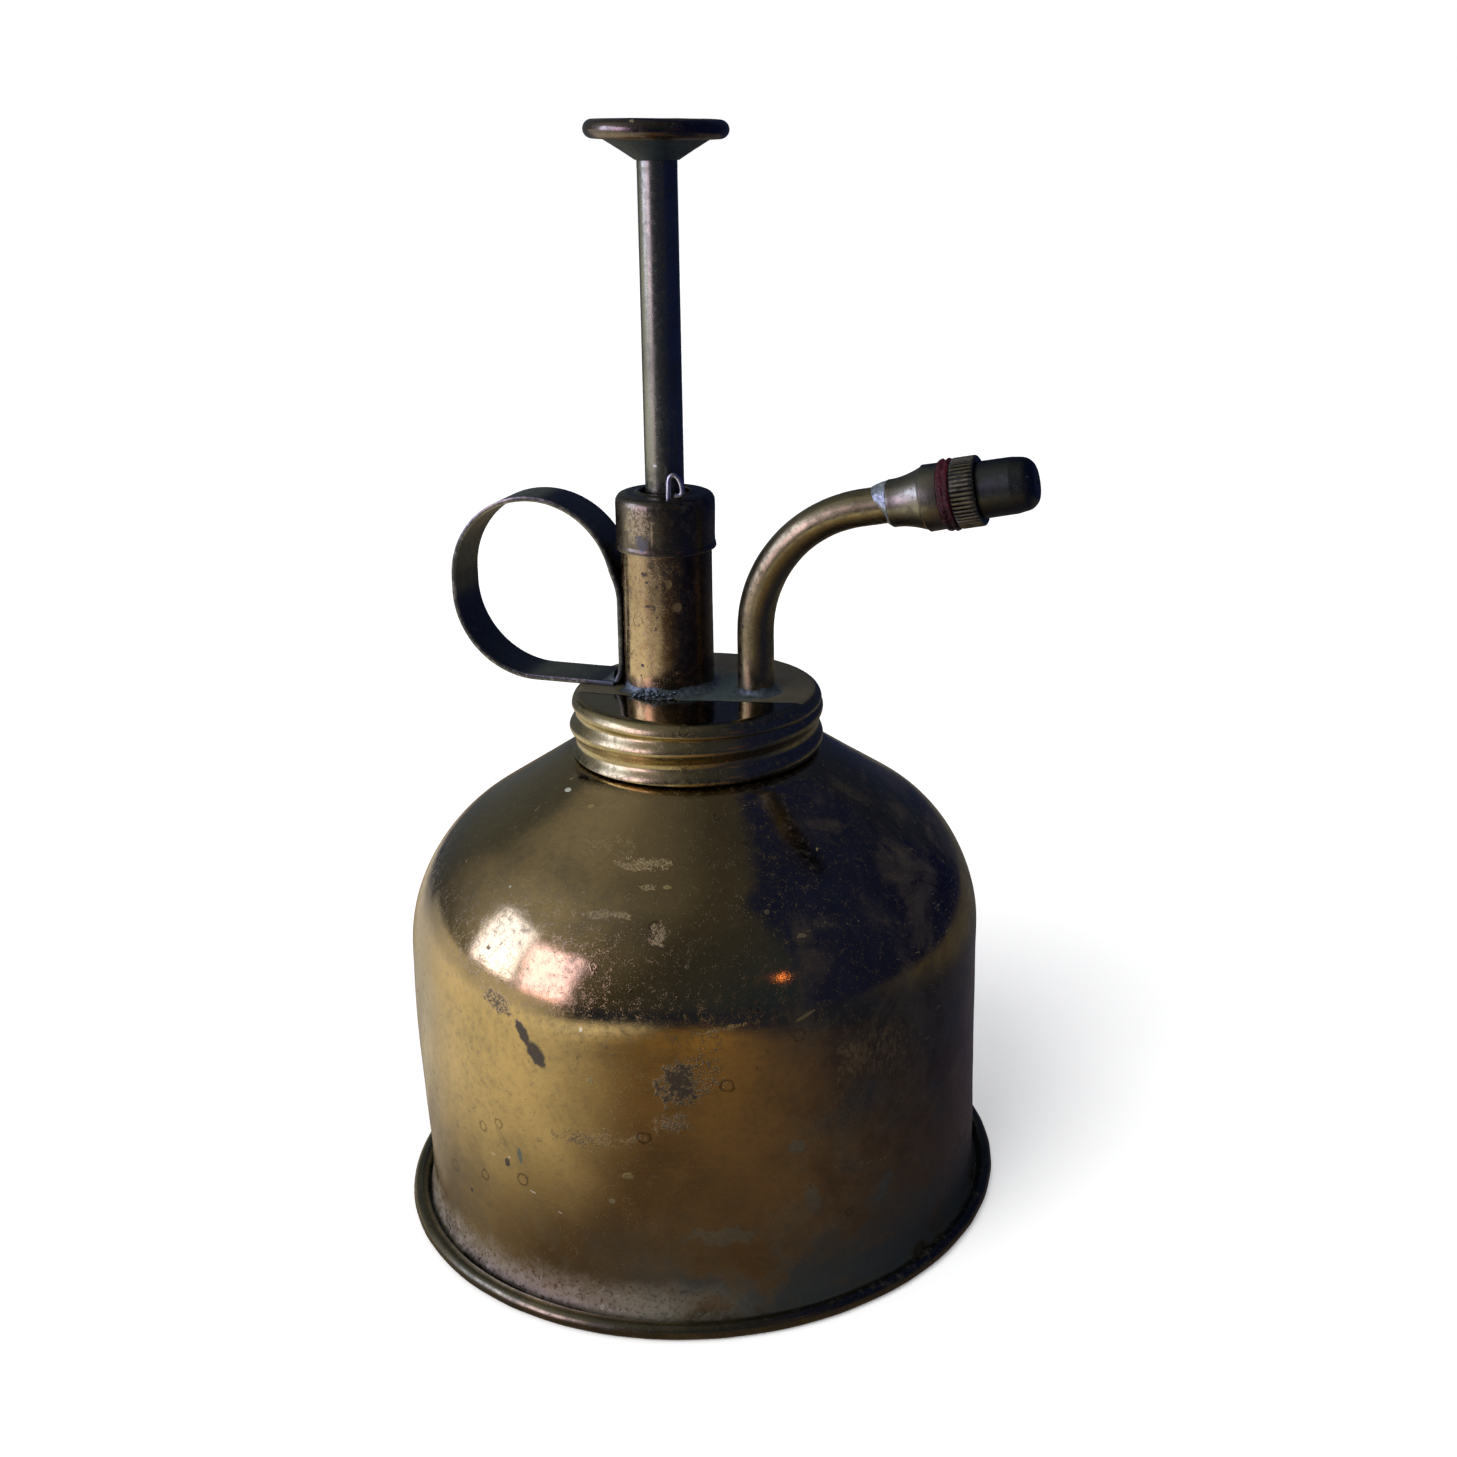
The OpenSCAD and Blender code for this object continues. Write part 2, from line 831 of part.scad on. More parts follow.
module nozzle_tip()
{
    length = tip_end - collar_start;
    color([0.34, 0.29, 0.17])
        on_nozzle()
            translate([0, 0, collar_start])
                difference()
                {
                    rotate_extrude()
                        union()
                        {
                            square([4.2, 4.5]);
                            polygon([[0, 4.42], [4.4, 4.42], [4.4, 5], [4.25, length - 2.6],
                                     [0, length - 2.6]]);
                            translate([0, length - 2.62])
                                square([2.1, 2.62]);
                            intersection()
                            {
                                translate([1.65, length - 2.6])
                                    circle(r = 2.6, $fn = 64);
                                translate([0, length - 2.62])
                                    square([6, 2.62]);
                            }
                        }
                    translate([0, 0, -1])
                        cylinder(r = spigot_radius + 0.08, h = 7.5);
                    translate([0, 0, 6.49])
                        cylinder(r1 = 2.9, r2 = 0.4, h = length - 8);
                    translate([0, 0, 1])
                        cylinder(r = 0.4, h = length, $fn = 32);
                }
}

reservoir_shell();
neck_collar();
base_pan();
base_solder();
lid_gasket();
lid();
pump_barrel();
barrel_cap();
finger_ring();
ring_corner_solder();
ring_back_solder();
barrel_solder();
spout_tube();
spout_solder();
nozzle_ferrule();
nozzle_solder();
swirl_core();
foot_valve_body();
inlet_stop_pin();
dip_tube();
strainer();
delivery_tube();
outlet_stop_pin();
wire_clip();
button_top();
button_cone();
plunger_rod();
rod_end_plug();
piston_back_washer();
leather_cup();
piston_front_washer();
piston_nut();
return_spring();
inlet_ball();
outlet_ball();
nozzle_washer();
nozzle_collar();
nozzle_tip();
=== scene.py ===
"""Aged brass hand-pump plant mister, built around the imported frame."""
import math
import random
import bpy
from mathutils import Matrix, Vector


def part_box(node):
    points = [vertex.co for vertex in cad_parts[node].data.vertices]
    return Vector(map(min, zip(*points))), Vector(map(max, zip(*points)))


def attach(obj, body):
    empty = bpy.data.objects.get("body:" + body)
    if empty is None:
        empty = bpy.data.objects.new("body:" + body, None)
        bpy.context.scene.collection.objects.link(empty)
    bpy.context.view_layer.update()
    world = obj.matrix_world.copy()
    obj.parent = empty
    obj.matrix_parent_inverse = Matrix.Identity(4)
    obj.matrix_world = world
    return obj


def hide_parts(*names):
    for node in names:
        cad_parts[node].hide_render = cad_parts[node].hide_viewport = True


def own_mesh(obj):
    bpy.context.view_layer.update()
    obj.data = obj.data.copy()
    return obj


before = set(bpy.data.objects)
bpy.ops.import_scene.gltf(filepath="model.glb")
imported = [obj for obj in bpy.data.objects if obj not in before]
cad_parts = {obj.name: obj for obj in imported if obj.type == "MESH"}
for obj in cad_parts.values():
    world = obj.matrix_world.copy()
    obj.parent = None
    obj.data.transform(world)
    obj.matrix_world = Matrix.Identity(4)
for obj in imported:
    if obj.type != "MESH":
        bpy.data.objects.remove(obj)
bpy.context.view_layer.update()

import bmesh
import bpy
from mathutils import Matrix, Vector, noise

MM = 0.001
ROUND = 128  # points round a small turned piece
WIDE = 288  # points round a large one


def cosd(degrees):
    return math.cos(math.radians(degrees))


def sind(degrees):
    return math.sin(math.radians(degrees))


def direction(azimuth, elevation=0):
    return Vector((cosd(azimuth) * cosd(elevation), sind(azimuth) * cosd(elevation), sind(elevation)))


def outward(p):
    """The level direction from the Z axis to p."""
    return Vector((p.x, p.y, 0)).normalized()


def unit(v):
    return min(1.0, max(0.0, v))


# ---------------------------------------------------------------- measures

def box_mm(node):
    low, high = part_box(node)
    return low / MM, high / MM


BARREL_LOW, BARREL_HIGH = box_mm("pump_barrel")
BX = round((BARREL_LOW.x + BARREL_HIGH.x) / 2, 2)
BARREL_R = round((BARREL_HIGH.x - BARREL_LOW.x) / 2, 2)
CAP_LOW, CAP_HIGH = box_mm("barrel_cap")
LID_LOW, LID_HIGH = box_mm("lid")
RING_LOW, RING_HIGH = box_mm("finger_ring")
ROD_LOW, ROD_HIGH = box_mm("plunger_rod")
CONE_FOOT = box_mm("button_cone")[0].z
LID_BOTTOM = round(LID_LOW.z, 2)
LID_TOP = round(LID_HIGH.z, 2)
CAP_TOP = round(CAP_HIGH.z, 2)
CAP_FOOT = round(CAP_LOW.z, 2)
CAP_R = 7.9
BASE_R = 50.0  # the tank
BEAD_R = 1.3
WALL_R = 46.5
SHOULDER_Z = 46.5
SHOULDER_R = 25.0
SHOULDER_ANGLE = 56.0
SPOUT_X = 10.1  # the spout
SPOUT_R = 2.95
BEND_Z = 97.2
BEND_R = 22.0
BEND_ANGLE = 78.3
TILT = 90 - BEND_ANGLE
FERRULE_GAP = 4.9  # from the bend's end to the nozzle
ROD_R = 3.1
THREAD_PITCH = 4.8  # the lid and the neck
THREAD_ZERO = 78.97

BEND_END = Vector((SPOUT_X + BEND_R * (1 - cosd(BEND_ANGLE)), 0, BEND_Z + BEND_R * sind(BEND_ANGLE)))
NOZZLE_DIR = Vector((cosd(TILT), 0, sind(TILT)))
NOZZLE_START = BEND_END + NOZZLE_DIR * FERRULE_GAP
# Turns a shape made along Z onto the nozzle's axis, with z = 0 at the ferrule's start.
ON_NOZZLE = Matrix.Translation(NOZZLE_START) @ Matrix.Rotation(math.radians(90 - TILT), 4, "Y")
ON_BARREL = Matrix.Translation(Vector((BX, 0, 0)))


# ---------------------------------------------------------------- node graphs

class Graph:
    """A material's node tree, with object coordinates in millimetres as p."""

    def __init__(self, name):
        self.material = bpy.data.materials.new(name)
        self.material.use_nodes = True
        self.tree = self.material.node_tree
        self.tree.nodes.clear()
        out = self.add("ShaderNodeOutputMaterial")
        self.bsdf = self.add("ShaderNodeBsdfPrincipled")
        self.tree.links.new(self.bsdf.outputs[0], out.inputs[0])
        coord = self.add("ShaderNodeTexCoord")
        scale = self.add("ShaderNodeVectorMath", operation="SCALE")
        scale.inputs["Scale"].default_value = 1 / MM
        self.tree.links.new(coord.outputs["Object"], scale.inputs[0])
        self.p = scale.outputs[0]
        self.ragged = None  # the noise that makes the edges of patches ragged

    def add(self, kind, **settings):
        made = self.tree.nodes.new(kind)
        for key, value in settings.items():
            setattr(made, key, value)
        return made

    def set(self, socket, value):
        if isinstance(value, bpy.types.NodeSocket):
            self.tree.links.new(value, socket)
        elif isinstance(value, (tuple, list)) and len(value) == 3 and socket.type == "RGBA":
            socket.default_value = (*value, 1)
        else:
            socket.default_value = value

    def math(self, operation, a, b=0.0, clamp=False):
        made = self.add("ShaderNodeMath", operation=operation, use_clamp=clamp)
        self.set(made.inputs[0], a)
        self.set(made.inputs[1], b)
        return made.outputs[0]

    def vector(self, operation, a, b=(0, 0, 0)):
        made = self.add("ShaderNodeVectorMath", operation=operation)
        self.set(made.inputs[0], a)
        self.set(made.inputs[1], b)
        return made.outputs["Value" if operation in ("DOT_PRODUCT", "LENGTH") else "Vector"]

    def scaled(self, a, factor):
        made = self.add("ShaderNodeVectorMath", operation="SCALE")
        self.set(made.inputs[0], a)
        self.set(made.inputs["Scale"], factor)
        return made.outputs[0]

    def split(self, vector):
        made = self.add("ShaderNodeSeparateXYZ")
        self.set(made.inputs[0], vector)
        return made.outputs

    def join(self, x, y, z):
        made = self.add("ShaderNodeCombineXYZ")
        for socket, value in zip(made.inputs, (x, y, z)):
            self.set(socket, value)
        return made.outputs[0]

    def noise(self, scale, detail=4.0, rough=0.55, warp=0.0, at=None, colour=False):
        made = self.add("ShaderNodeTexNoise")
        self.set(made.inputs["Vector"], at or self.p)
        self.set(made.inputs["Scale"], scale)
        self.set(made.inputs["Detail"], detail)
        self.set(made.inputs["Roughness"], rough)
        self.set(made.inputs["Distortion"], warp)
        return made.outputs[1 if colour else 0]

    def cells(self, scale, at):
        made = self.add("ShaderNodeTexVoronoi", feature="F1")
        self.set(made.inputs["Vector"], at)
        self.set(made.inputs["Scale"], scale)
        self.set(made.inputs["Randomness"], 1.0)
        return made.outputs

    def step(self, value, low, high):
        """0 below low and 1 above high, smooth between them; low may be above high."""
        made = self.add("ShaderNodeMapRange", interpolation_type="SMOOTHSTEP")
        self.set(made.inputs["Value"], value)
        self.set(made.inputs["From Min"], low)
        self.set(made.inputs["From Max"], high)
        return made.outputs[0]

    def mix(self, factor, a, b):
        made = self.add("ShaderNodeMix", data_type="RGBA")
        self.set(made.inputs["Factor"], factor)
        self.set(made.inputs[6], a)
        self.set(made.inputs[7], b)
        return made.outputs[2]

    def lerp(self, factor, a, b):
        made = self.add("ShaderNodeMix", data_type="FLOAT")
        self.set(made.inputs["Factor"], factor)
        self.set(made.inputs[2], a)
        self.set(made.inputs[3], b)
        return made.outputs[0]

    def most(self, *values):
        result = values[0]
        for value in values[1:]:
            result = self.math("MAXIMUM", result, value)
        return result

    def times(self, *values):
        result = values[0]
        for value in values[1:]:
            result = self.math("MULTIPLY", result, value)
        return result

    def plus(self, *values):
        result = values[0]
        for value in values[1:]:
            result = self.math("ADD", result, value)
        return result

    def inverse(self, value):
        return self.math("SUBTRACT", 1.0, value)

    def less(self, value, *amounts):
        """value minus the product of amounts, between 0 and 1."""
        return self.math("SUBTRACT", value, self.times(*amounts), clamp=True)

    def swing(self, value, amount):
        """How far value is from a half, times amount."""
        return self.times(self.math("SUBTRACT", value, 0.5), amount)

    def clouds(self, low, high, *noise):
        """Soft-edged patches: 0 where the noise is below low and 1 where it is above high."""
        return self.step(self.noise(*noise), low, high)

    def stretched(self, factors, at=None):
        return self.vector("MULTIPLY", at or self.p, factors)

    def facing(self, azimuth, radius=1.0, at=None):
        """1 where a round piece of this radius faces azimuth, and -1 at its back."""
        return self.vector("DOT_PRODUCT", at or self.p, tuple(direction(azimuth) / radius))

    def tint(self, colour, shade, *amounts):
        """colour turned towards shade by the product of amounts."""
        return self.mix(self.times(*amounts), colour, shade)

    def bump(self, height, distance_mm):
        made = self.add("ShaderNodeBump")
        self.set(made.inputs["Strength"], 1.0)
        self.set(made.inputs["Distance"], distance_mm * MM)
        self.set(made.inputs["Height"], height)
        self.tree.links.new(made.outputs[0], self.bsdf.inputs["Normal"])

    def finish(self, colour, rough, metal):
        self.set(self.bsdf.inputs["Base Color"], colour)
        self.set(self.bsdf.inputs["Roughness"], rough)
        self.set(self.bsdf.inputs["Metallic"], metal)
        return self.material


def old_brass(name, gold, olive, dark, tarnish=0.5, rough=0.2, pits=0.3, soot=0.3,
              green=0.0, grain=(1, 1, 1), extra=None, waves=1.0, flecks=0.3):
    """Tarnished sheet brass: gold worn through olive and dark oxide, with specks,
    pits, faint scratches along grain and a little verdigris."""
    g = Graph(name)
    broad = g.noise(0.032, 4, 0.55, 0.5)
    middle = g.noise(0.13, 6, 0.62, 0.4)
    fine = g.noise(0.9, 5, 0.68)
    dust = g.noise(5.5, 3, 0.65)
    blend = g.plus(g.times(broad, 0.45), g.times(middle, 0.30), g.times(fine, 0.25))
    olive_part = g.step(blend, 0.62 - 0.32 * tarnish, 0.86 - 0.32 * tarnish)
    colour = g.mix(olive_part, gold, olive)
    film = g.step(g.plus(g.times(middle, 0.55), g.times(fine, 0.45)), 0.60 - 0.12 * soot, 0.80 - 0.12 * soot)
    film = g.times(film, g.step(broad, 0.60 - 0.3 * soot, 0.80 - 0.3 * soot), 0.75)
    colour = g.mix(film, colour, dark)
    pepper = g.step(g.plus(dust, g.times(fine, 0.7)), 1.04 - 0.14 * pits, 1.22 - 0.14 * pits)
    colour = g.tint(colour, dark, pepper, 0.6)
    wander = g.vector("ADD", g.p, g.scaled(g.noise(0.9, 3, 0.6, colour=True), 1.6))
    spots = g.cells(0.26, wander)
    chance = g.split(spots["Color"])
    size = g.plus(0.05, g.times(chance[1], 0.10))
    inside = g.step(g.math("DIVIDE", spots["Distance"], size), 1.0, 0.75)
    speck = g.times(inside, g.step(chance[0], 0.995 - 0.09 * flecks, 1.0 - 0.09 * flecks))
    colour = g.tint(colour, (0.34, 0.31, 0.17), speck, 0.7)
    blob = g.times(inside, g.step(chance[2], 0.99 - 0.16 * pits, 1.0 - 0.16 * pits))
    colour = g.tint(colour, dark, blob, 0.8)
    loops = g.cells(0.17, wander)
    chance = g.split(loops["Color"])
    size = g.plus(0.09, g.times(chance[1], 0.08))
    share = g.math("DIVIDE", loops["Distance"], size)
    loop = g.times(g.step(share, 1.15, 1.0), g.step(share, 0.72, 0.92),
                   g.step(chance[0], 0.99 - 0.2 * pits, 1.0 - 0.2 * pits))
    colour = g.tint(colour, dark, loop, 0.5)
    streaks = g.noise(1.0, 3, 0.6, 0.2, at=g.stretched(grain))
    colour = g.mix(g.times(g.step(streaks, 0.56, 0.72), 0.3), colour, gold)
    oxide = g.most(film, g.times(pepper, 0.6), g.times(speck, 0.8), blob)
    roughness = g.plus(rough, g.times(oxide, 0.30), g.swing(fine, 0.22),
                       g.times(olive_part, 0.04), g.swing(middle, 0.12))
    metal = g.less(1.0, oxide, 0.45)
    height = g.plus(g.times(oxide, 0.4), g.times(fine, 0.28), g.times(streaks, 0.12), g.times(dust, 0.08),
                    g.times(loop, 0.3))
    if green:
        bloom = g.step(g.plus(g.times(g.noise(0.11, 5, 0.65, 0.8), 0.7), g.times(fine, 0.3)),
                       0.66 - 0.14 * green, 0.80 - 0.12 * green)
        colour = g.tint(colour, (0.085, 0.13, 0.115), bloom, 0.7)
        roughness = g.plus(roughness, g.times(bloom, 0.2))
        metal = g.less(metal, bloom, 0.5)
    if extra:
        colour, roughness, metal, height = extra(g, colour, roughness, metal, height)
    g.bump(height, 0.05 * waves)
    return g.finish(colour, g.math("MINIMUM", g.math("MAXIMUM", roughness, 0.07), 0.9), metal)


def tank_point(azimuth, z):
    """Point on the tank's outside, with its tangents around and up."""
    if z <= SHOULDER_Z:
        r, lean = WALL_R, 0.0
    else:
        lean = math.degrees(math.asin(min(1, (z - SHOULDER_Z) / SHOULDER_R)))
        if lean <= SHOULDER_ANGLE:
            r = WALL_R - SHOULDER_R * (1 - cosd(lean))
        else:
            lean = SHOULDER_ANGLE
            start_r = WALL_R - SHOULDER_R * (1 - cosd(lean))
            start_z = SHOULDER_Z + SHOULDER_R * sind(lean)
            r = start_r - (z - start_z) * math.tan(math.radians(lean))
    a, t = math.radians(azimuth), math.radians(lean)
    out = Vector((math.cos(a), math.sin(a), 0))
    around = Vector((-math.sin(a), math.cos(a), 0))
    up = Vector((0, 0, 1)) * math.cos(t) - out * math.sin(t)
    return out * r + Vector((0, 0, z)), around, up


def round_point(radius):
    """tank_point for an upright round piece on the barrel's axis."""
    def place(azimuth, z):
        out = direction(azimuth)
        return out * radius + Vector((BX, 0, z)), Vector((-out.y, out.x, 0)), Vector((0, 0, 1))
    return place


def patch(g, place, azimuth, z, half_width, half_height, turn, ragged):
    """Mask that is 1 inside a ragged ellipse on a surface and 0 outside it."""
    centre, around, up = place(azimuth, z)
    c, s = cosd(turn), sind(turn)
    along = (around * c + up * s) / half_width
    across = (up * c - around * s) / half_height
    offset = g.vector("SUBTRACT", g.p, tuple(centre))
    u = g.vector("DOT_PRODUCT", offset, tuple(along))
    v = g.vector("DOT_PRODUCT", offset, tuple(across))
    out = g.vector("DOT_PRODUCT", offset, tuple(around.cross(up) / (2 * half_width + 2)))
    distance = g.vector("LENGTH", g.join(u, v, out))
    return g.step(g.plus(distance, g.swing(g.ragged, 4.0 * ragged)), 1.0, 0.65)


def patches(g, place, *rows):
    """The union of patches. A row has patch's measures, and then masks or amounts that weaken it."""
    return g.most(*[g.times(patch(g, place, *row[:6]), *row[6:]) for row in rows])


def tank_marks(g, colour, rough, metal, height):
    """The stains and worn places of the tank's front, and painted shade on its right side, near its base and at its
    far left.
    """
    g.ragged = g.noise(0.6, 6, 0.72)
    grit = g.clouds(0.42, 0.58, 2.2, 5, 0.75)
    z = g.split(g.p)[2]

    # painted shade: brown and blue-green darkening on the right and near the base, standing in for shadow seen in
    # reflections
    cloud = g.noise(0.05, 6, 0.62, 0.8)
    toward_right = g.facing(5, WALL_R)
    shade = g.plus(toward_right, g.swing(cloud, 1.1), g.swing(g.noise(0.22, 6, 0.68, 0.6), 0.5))
    shade = g.times(g.step(shade, 0.40, 1.05), 0.85)
    # painted shade: darker towards the bottom, most strongly on the right
    low = g.step(g.plus(z, g.swing(cloud, 22.0)), 24.0, 6.0)
    colour = g.mix(shade, colour, (0.14, 0.10, 0.065))
    low_tint = g.lerp(g.step(toward_right, -0.70, -0.20), 0.1, 0.55)
    colour = g.tint(colour, (0.13, 0.095, 0.06), low, low_tint)
    # painted shade: the far left of the wall is darkened from about 28 mm up
    far_left_shade = g.step(g.facing(-172, WALL_R), 0.66, 0.86)
    colour = g.tint(colour, (0.17, 0.135, 0.085), far_left_shade, g.step(z, 28.0, 42.0), 0.7)
    # painted shade: a blue-green tint over the darkened right side and base
    painted_blue_shade = g.most(
        g.times(g.most(shade, g.times(low, 0.6)), g.clouds(0.46, 0.66, 0.085, 5, 0.65, 0.6)),
        g.times(low, g.step(toward_right, -0.35, 0.25), g.clouds(0.38, 0.58, 0.07, 5, 0.65, 0.4)))
    colour = g.tint(colour, (0.04, 0.062, 0.075), painted_blue_shade, 0.85)

    stains = patches(
        g, tank_point,
        (-104.6, 46.7, 1.0, 2.8, 28, 0.45), (-101.8, 43.8, 1.6, 2.6, 28, 0.3),
        (-111, 50.3, 3.4, 1.7, -20, 0.8, grit, 0.9),
        (-75, 41.5, 2.6, 3.6, 0, 0.9, g.clouds(0.34, 0.48, 1.1, 5, 0.7)),
        (-71, 43.0, 3.6, 4.0, 10, 1.3, g.clouds(0.52, 0.58, 1.8, 4, 0.7), 0.8),
        (-76, 35.0, 2.4, 1.6, 0, 1.4, grit, 0.8), (-91, 31.5, 5.0, 1.2, 4, 1.7, grit, 0.6),
        (-73, 58.6, 0.35, 0.35, 0, 0.2), (-122.1, 14.5, 0.5, 0.5, 0, 0.4),
        (-55.8, 64.3, 0.4, 0.4, 0, 0.2), (-110.2, 23.6, 0.7, 1.1, 0, 0.5),
        (-42, 33.0, 4.5, 3.0, 0, 1.2, g.clouds(0.50, 0.60, 1.3, 4, 0.7), 0.7),
        (-30, 40.0, 3.0, 5.0, 0, 1.2, g.clouds(0.50, 0.60, 1.1, 4, 0.7), 0.7))
    colour = g.tint(colour, (0.022, 0.019, 0.024), stains, 0.9)
    pale = patches(
        g, tank_point,
        (-91, 64.2, 4.6, 0.7, 4, 1.0, grit), (-86, 69.5, 4.6, 1.0, 2, 1.2, grit), (-81, 69.8, 1.8, 0.5, 2, 0.8, grit),
        (-79, 62.4, 1.4, 1.7, 0, 1.2, grit, 0.7), (-99, 71.0, 3.5, 1.6, 10, 1.5, grit, 0.4),
        (-112, 74.3, 0.8, 0.45, 20, 0.2, 0.8), (-66, 50.0, 5.0, 0.4, 8, 1.0, grit, 0.6),
        (-39, 22.8, 6.0, 0.3, -12, 0.8, grit, 0.7), (-51, 50.2, 2.2, 0.3, 22, 0.6, 0.7),
        (-84.6, 25.9, 0.9, 0.6, 0, 0.5, 0.8), (-83, 67.3, 1.6, 0.5, 0, 0.8, grit), (-78, 67.4, 0.8, 0.4, 0, 0.4, 0.9))
    colour = g.tint(colour, (0.25, 0.205, 0.085), pale, 0.8)
    glints = patches(
        g, tank_point,
        (-113.8, 23.8, 0.45, 0.12, -15, 0.1), (-104.3, 19.9, 0.7, 0.14, -15, 0.15), (-98.4, 17.7, 0.5, 0.12, -15, 0.1),
        (-117.7, 64.5, 0.3, 0.2, 0, 0.1), (-92.5, 49.2, 0.3, 0.45, 0, 0.1), (-109.5, 24.6, 0.2, 0.2, 0, 0.1))
    colour = g.mix(glints, colour, (0.75, 0.72, 0.62))
    spot = patch(g, tank_point, -87.7, 21.4, 0.62, 0.5, 0, 0.1)
    colour = g.mix(spot, colour, (0.23, 0.20, 0.11))
    rings = []
    for azimuth, ring_z, r in ((-116.2, 28.0, 1.1), (-111.7, 29.7, 1.0), (-127.9, 16.6, 1.3), (-81.2, 32.5, 1.2),
                               (-106.5, 21.5, 1.3), (-117, 19.0, 1.2), (-80, 63.3, 1.0), (-66, 40.8, 1.3)):
        hole = patch(g, tank_point, azimuth, ring_z, 0.72 * r, 0.72 * r, 0, 0.35)
        rings.append(g.times(patch(g, tank_point, azimuth, ring_z, r, r, 0, 0.35), g.inverse(hole)))
    colour = g.tint(colour, (0.085, 0.06, 0.03), g.most(*rings), 0.75)
    chip = patch(g, tank_point, -128, 74.8, 0.85, 0.5, 15, 0.15)
    colour = g.mix(chip, colour, (0.46, 0.48, 0.42))
    teal = patches(
        g, tank_point,
        (-67, 15.5, 7.0, 1.5, 0, 1.0, 0.4), (-50, 19.5, 1.6, 3.0, 20, 0.8, 0.45), (-34, 17.0, 1.5, 3.5, -35, 0.6, 0.5),
        (-106.7, 25.4, 0.5, 1.7, 5, 0.5, 0.8), (-53, 29, 1.6, 1.2, 0, 0.9, 0.5))
    colour = g.mix(teal, colour, (0.10, 0.15, 0.155))

    # a rubbed place on the right, and fine scuffs beside it
    hatch = g.noise(1.0, 4, 0.65, 0.4, at=g.stretched((1.6, 1.6, 0.7)))
    rubbed = g.times(patch(g, tank_point, -37, 41.0, 7.0, 5.5, -12, 0.6), g.step(hatch, 0.30, 0.75), 0.7)
    colour = g.mix(rubbed, colour, (0.15, 0.088, 0.045))
    drift = g.scaled(g.noise(0.05, 2, 0.5, colour=True), 14.0)
    scratches = g.noise(1.0, 2, 0.5, 0.3, at=g.stretched((0.5, 0.5, 3.2), at=g.vector("ADD", g.p, drift)))
    scuffs = g.times(g.step(scratches, 0.66, 0.72), g.step(toward_right, 0.72, 0.92), g.step(z, 26.0, 40.0))
    colour = g.tint(colour, (0.20, 0.165, 0.12), scuffs, 0.6)
    marks = g.most(stains, g.times(pale, 0.6), chip, g.times(teal, 0.6), g.times(glints, 0.4), g.times(spot, 0.8),
                   rubbed, g.times(scuffs, 0.7), g.times(painted_blue_shade, 0.55))
    rough = g.plus(rough, g.times(marks, 0.28), g.times(low, 0.10), g.times(shade, 0.07))
    metal = g.less(metal, marks, 0.6)
    height = g.plus(height, g.times(g.most(stains, pale, chip), 0.7))

    # worn bright above the base, crusted under the lid, darker at the wall's foot by the seam
    worn_front = g.step(g.facing(-125, WALL_R), 0.35, 0.95)
    edge_of_wear = g.plus(z, g.swing(g.noise(0.25, 4, 0.6), 5.0))
    worn = g.times(g.step(edge_of_wear, 9.0, 4.6), g.clouds(0.32, 0.52, 1.5, 6, 0.75), worn_front)
    colour = g.tint(colour, (0.60, 0.54, 0.40), worn, 0.85)
    crust = g.times(g.step(g.plus(z, g.swing(g.ragged, 4.0)), 76.6, 77.2), worn_front)
    colour = g.tint(colour, (0.27, 0.205, 0.12), crust, 0.85)
    height = g.plus(height, g.times(crust, 1.5))
    rough = g.plus(rough, g.times(g.most(worn, crust), 0.22))
    colour = g.tint(colour, (0.10, 0.10, 0.10), g.step(z, 2.6, 1.2), 0.7)
    return colour, rough, metal, height


def lid_marks(g, colour, rough, metal, height):
    """Polished front of the lid's top, and the solder's dark skin behind a thin line."""
    x, y, z = g.split(g.p)
    top = g.step(z, LID_TOP - 0.35, LID_TOP - 0.1)
    bend = g.times(g.math("MAXIMUM", g.plus(x, 1.0), 0.0), -0.2)
    side = g.plus(y, 8.0, g.swing(g.noise(0.35, 4, 0.6), 0.9), bend)
    front = g.times(top, g.step(side, 0.1, -0.1))
    behind = g.times(top, g.step(side, -0.05, 0.2))
    line = g.times(top, g.step(g.math("ABSOLUTE", side), 0.26, 0.12),
                   g.step(x, -19.0, -17.5), g.step(x, 15.0, 12.0))
    from_barrel = g.stretched((0.075, 0.11, 0.0), at=g.vector("SUBTRACT", g.p, (1.0, 0.0, 87.3)))
    reach = g.plus(g.vector("LENGTH", from_barrel), g.swing(g.noise(0.3, 5, 0.7), 0.9))
    film = g.times(behind, g.step(reach, 1.15, 0.75))
    colour = g.tint(colour, (0.24, 0.18, 0.105), front, 0.65)
    colour = g.tint(colour, (0.17, 0.15, 0.105), behind, 0.6)
    grain = g.clouds(0.40, 0.62, 0.9, 5, 0.7)
    colour = g.tint(colour, (0.028, 0.050, 0.058), film, 0.9)
    colour = g.tint(colour, (0.075, 0.105, 0.115), film, grain, 0.6)
    colour = g.tint(colour, (0.015, 0.016, 0.018), line, 0.9)
    rough = g.plus(g.lerp(front, rough, 0.09), g.times(film, 0.22), g.times(behind, 0.06))
    metal = g.less(metal, g.plus(g.times(film, 0.45), g.times(behind, 0.2)))
    height = g.plus(g.lerp(front, height, g.times(height, 0.35)), g.times(film, grain, 0.5), g.times(line, -0.8))
    colour = g.tint(colour, (0.08, 0.07, 0.05), g.step(z, 79.2, 78.0), g.clouds(0.46, 0.58, 0.8, 5, 0.7), 0.6)
    return colour, rough, metal, height


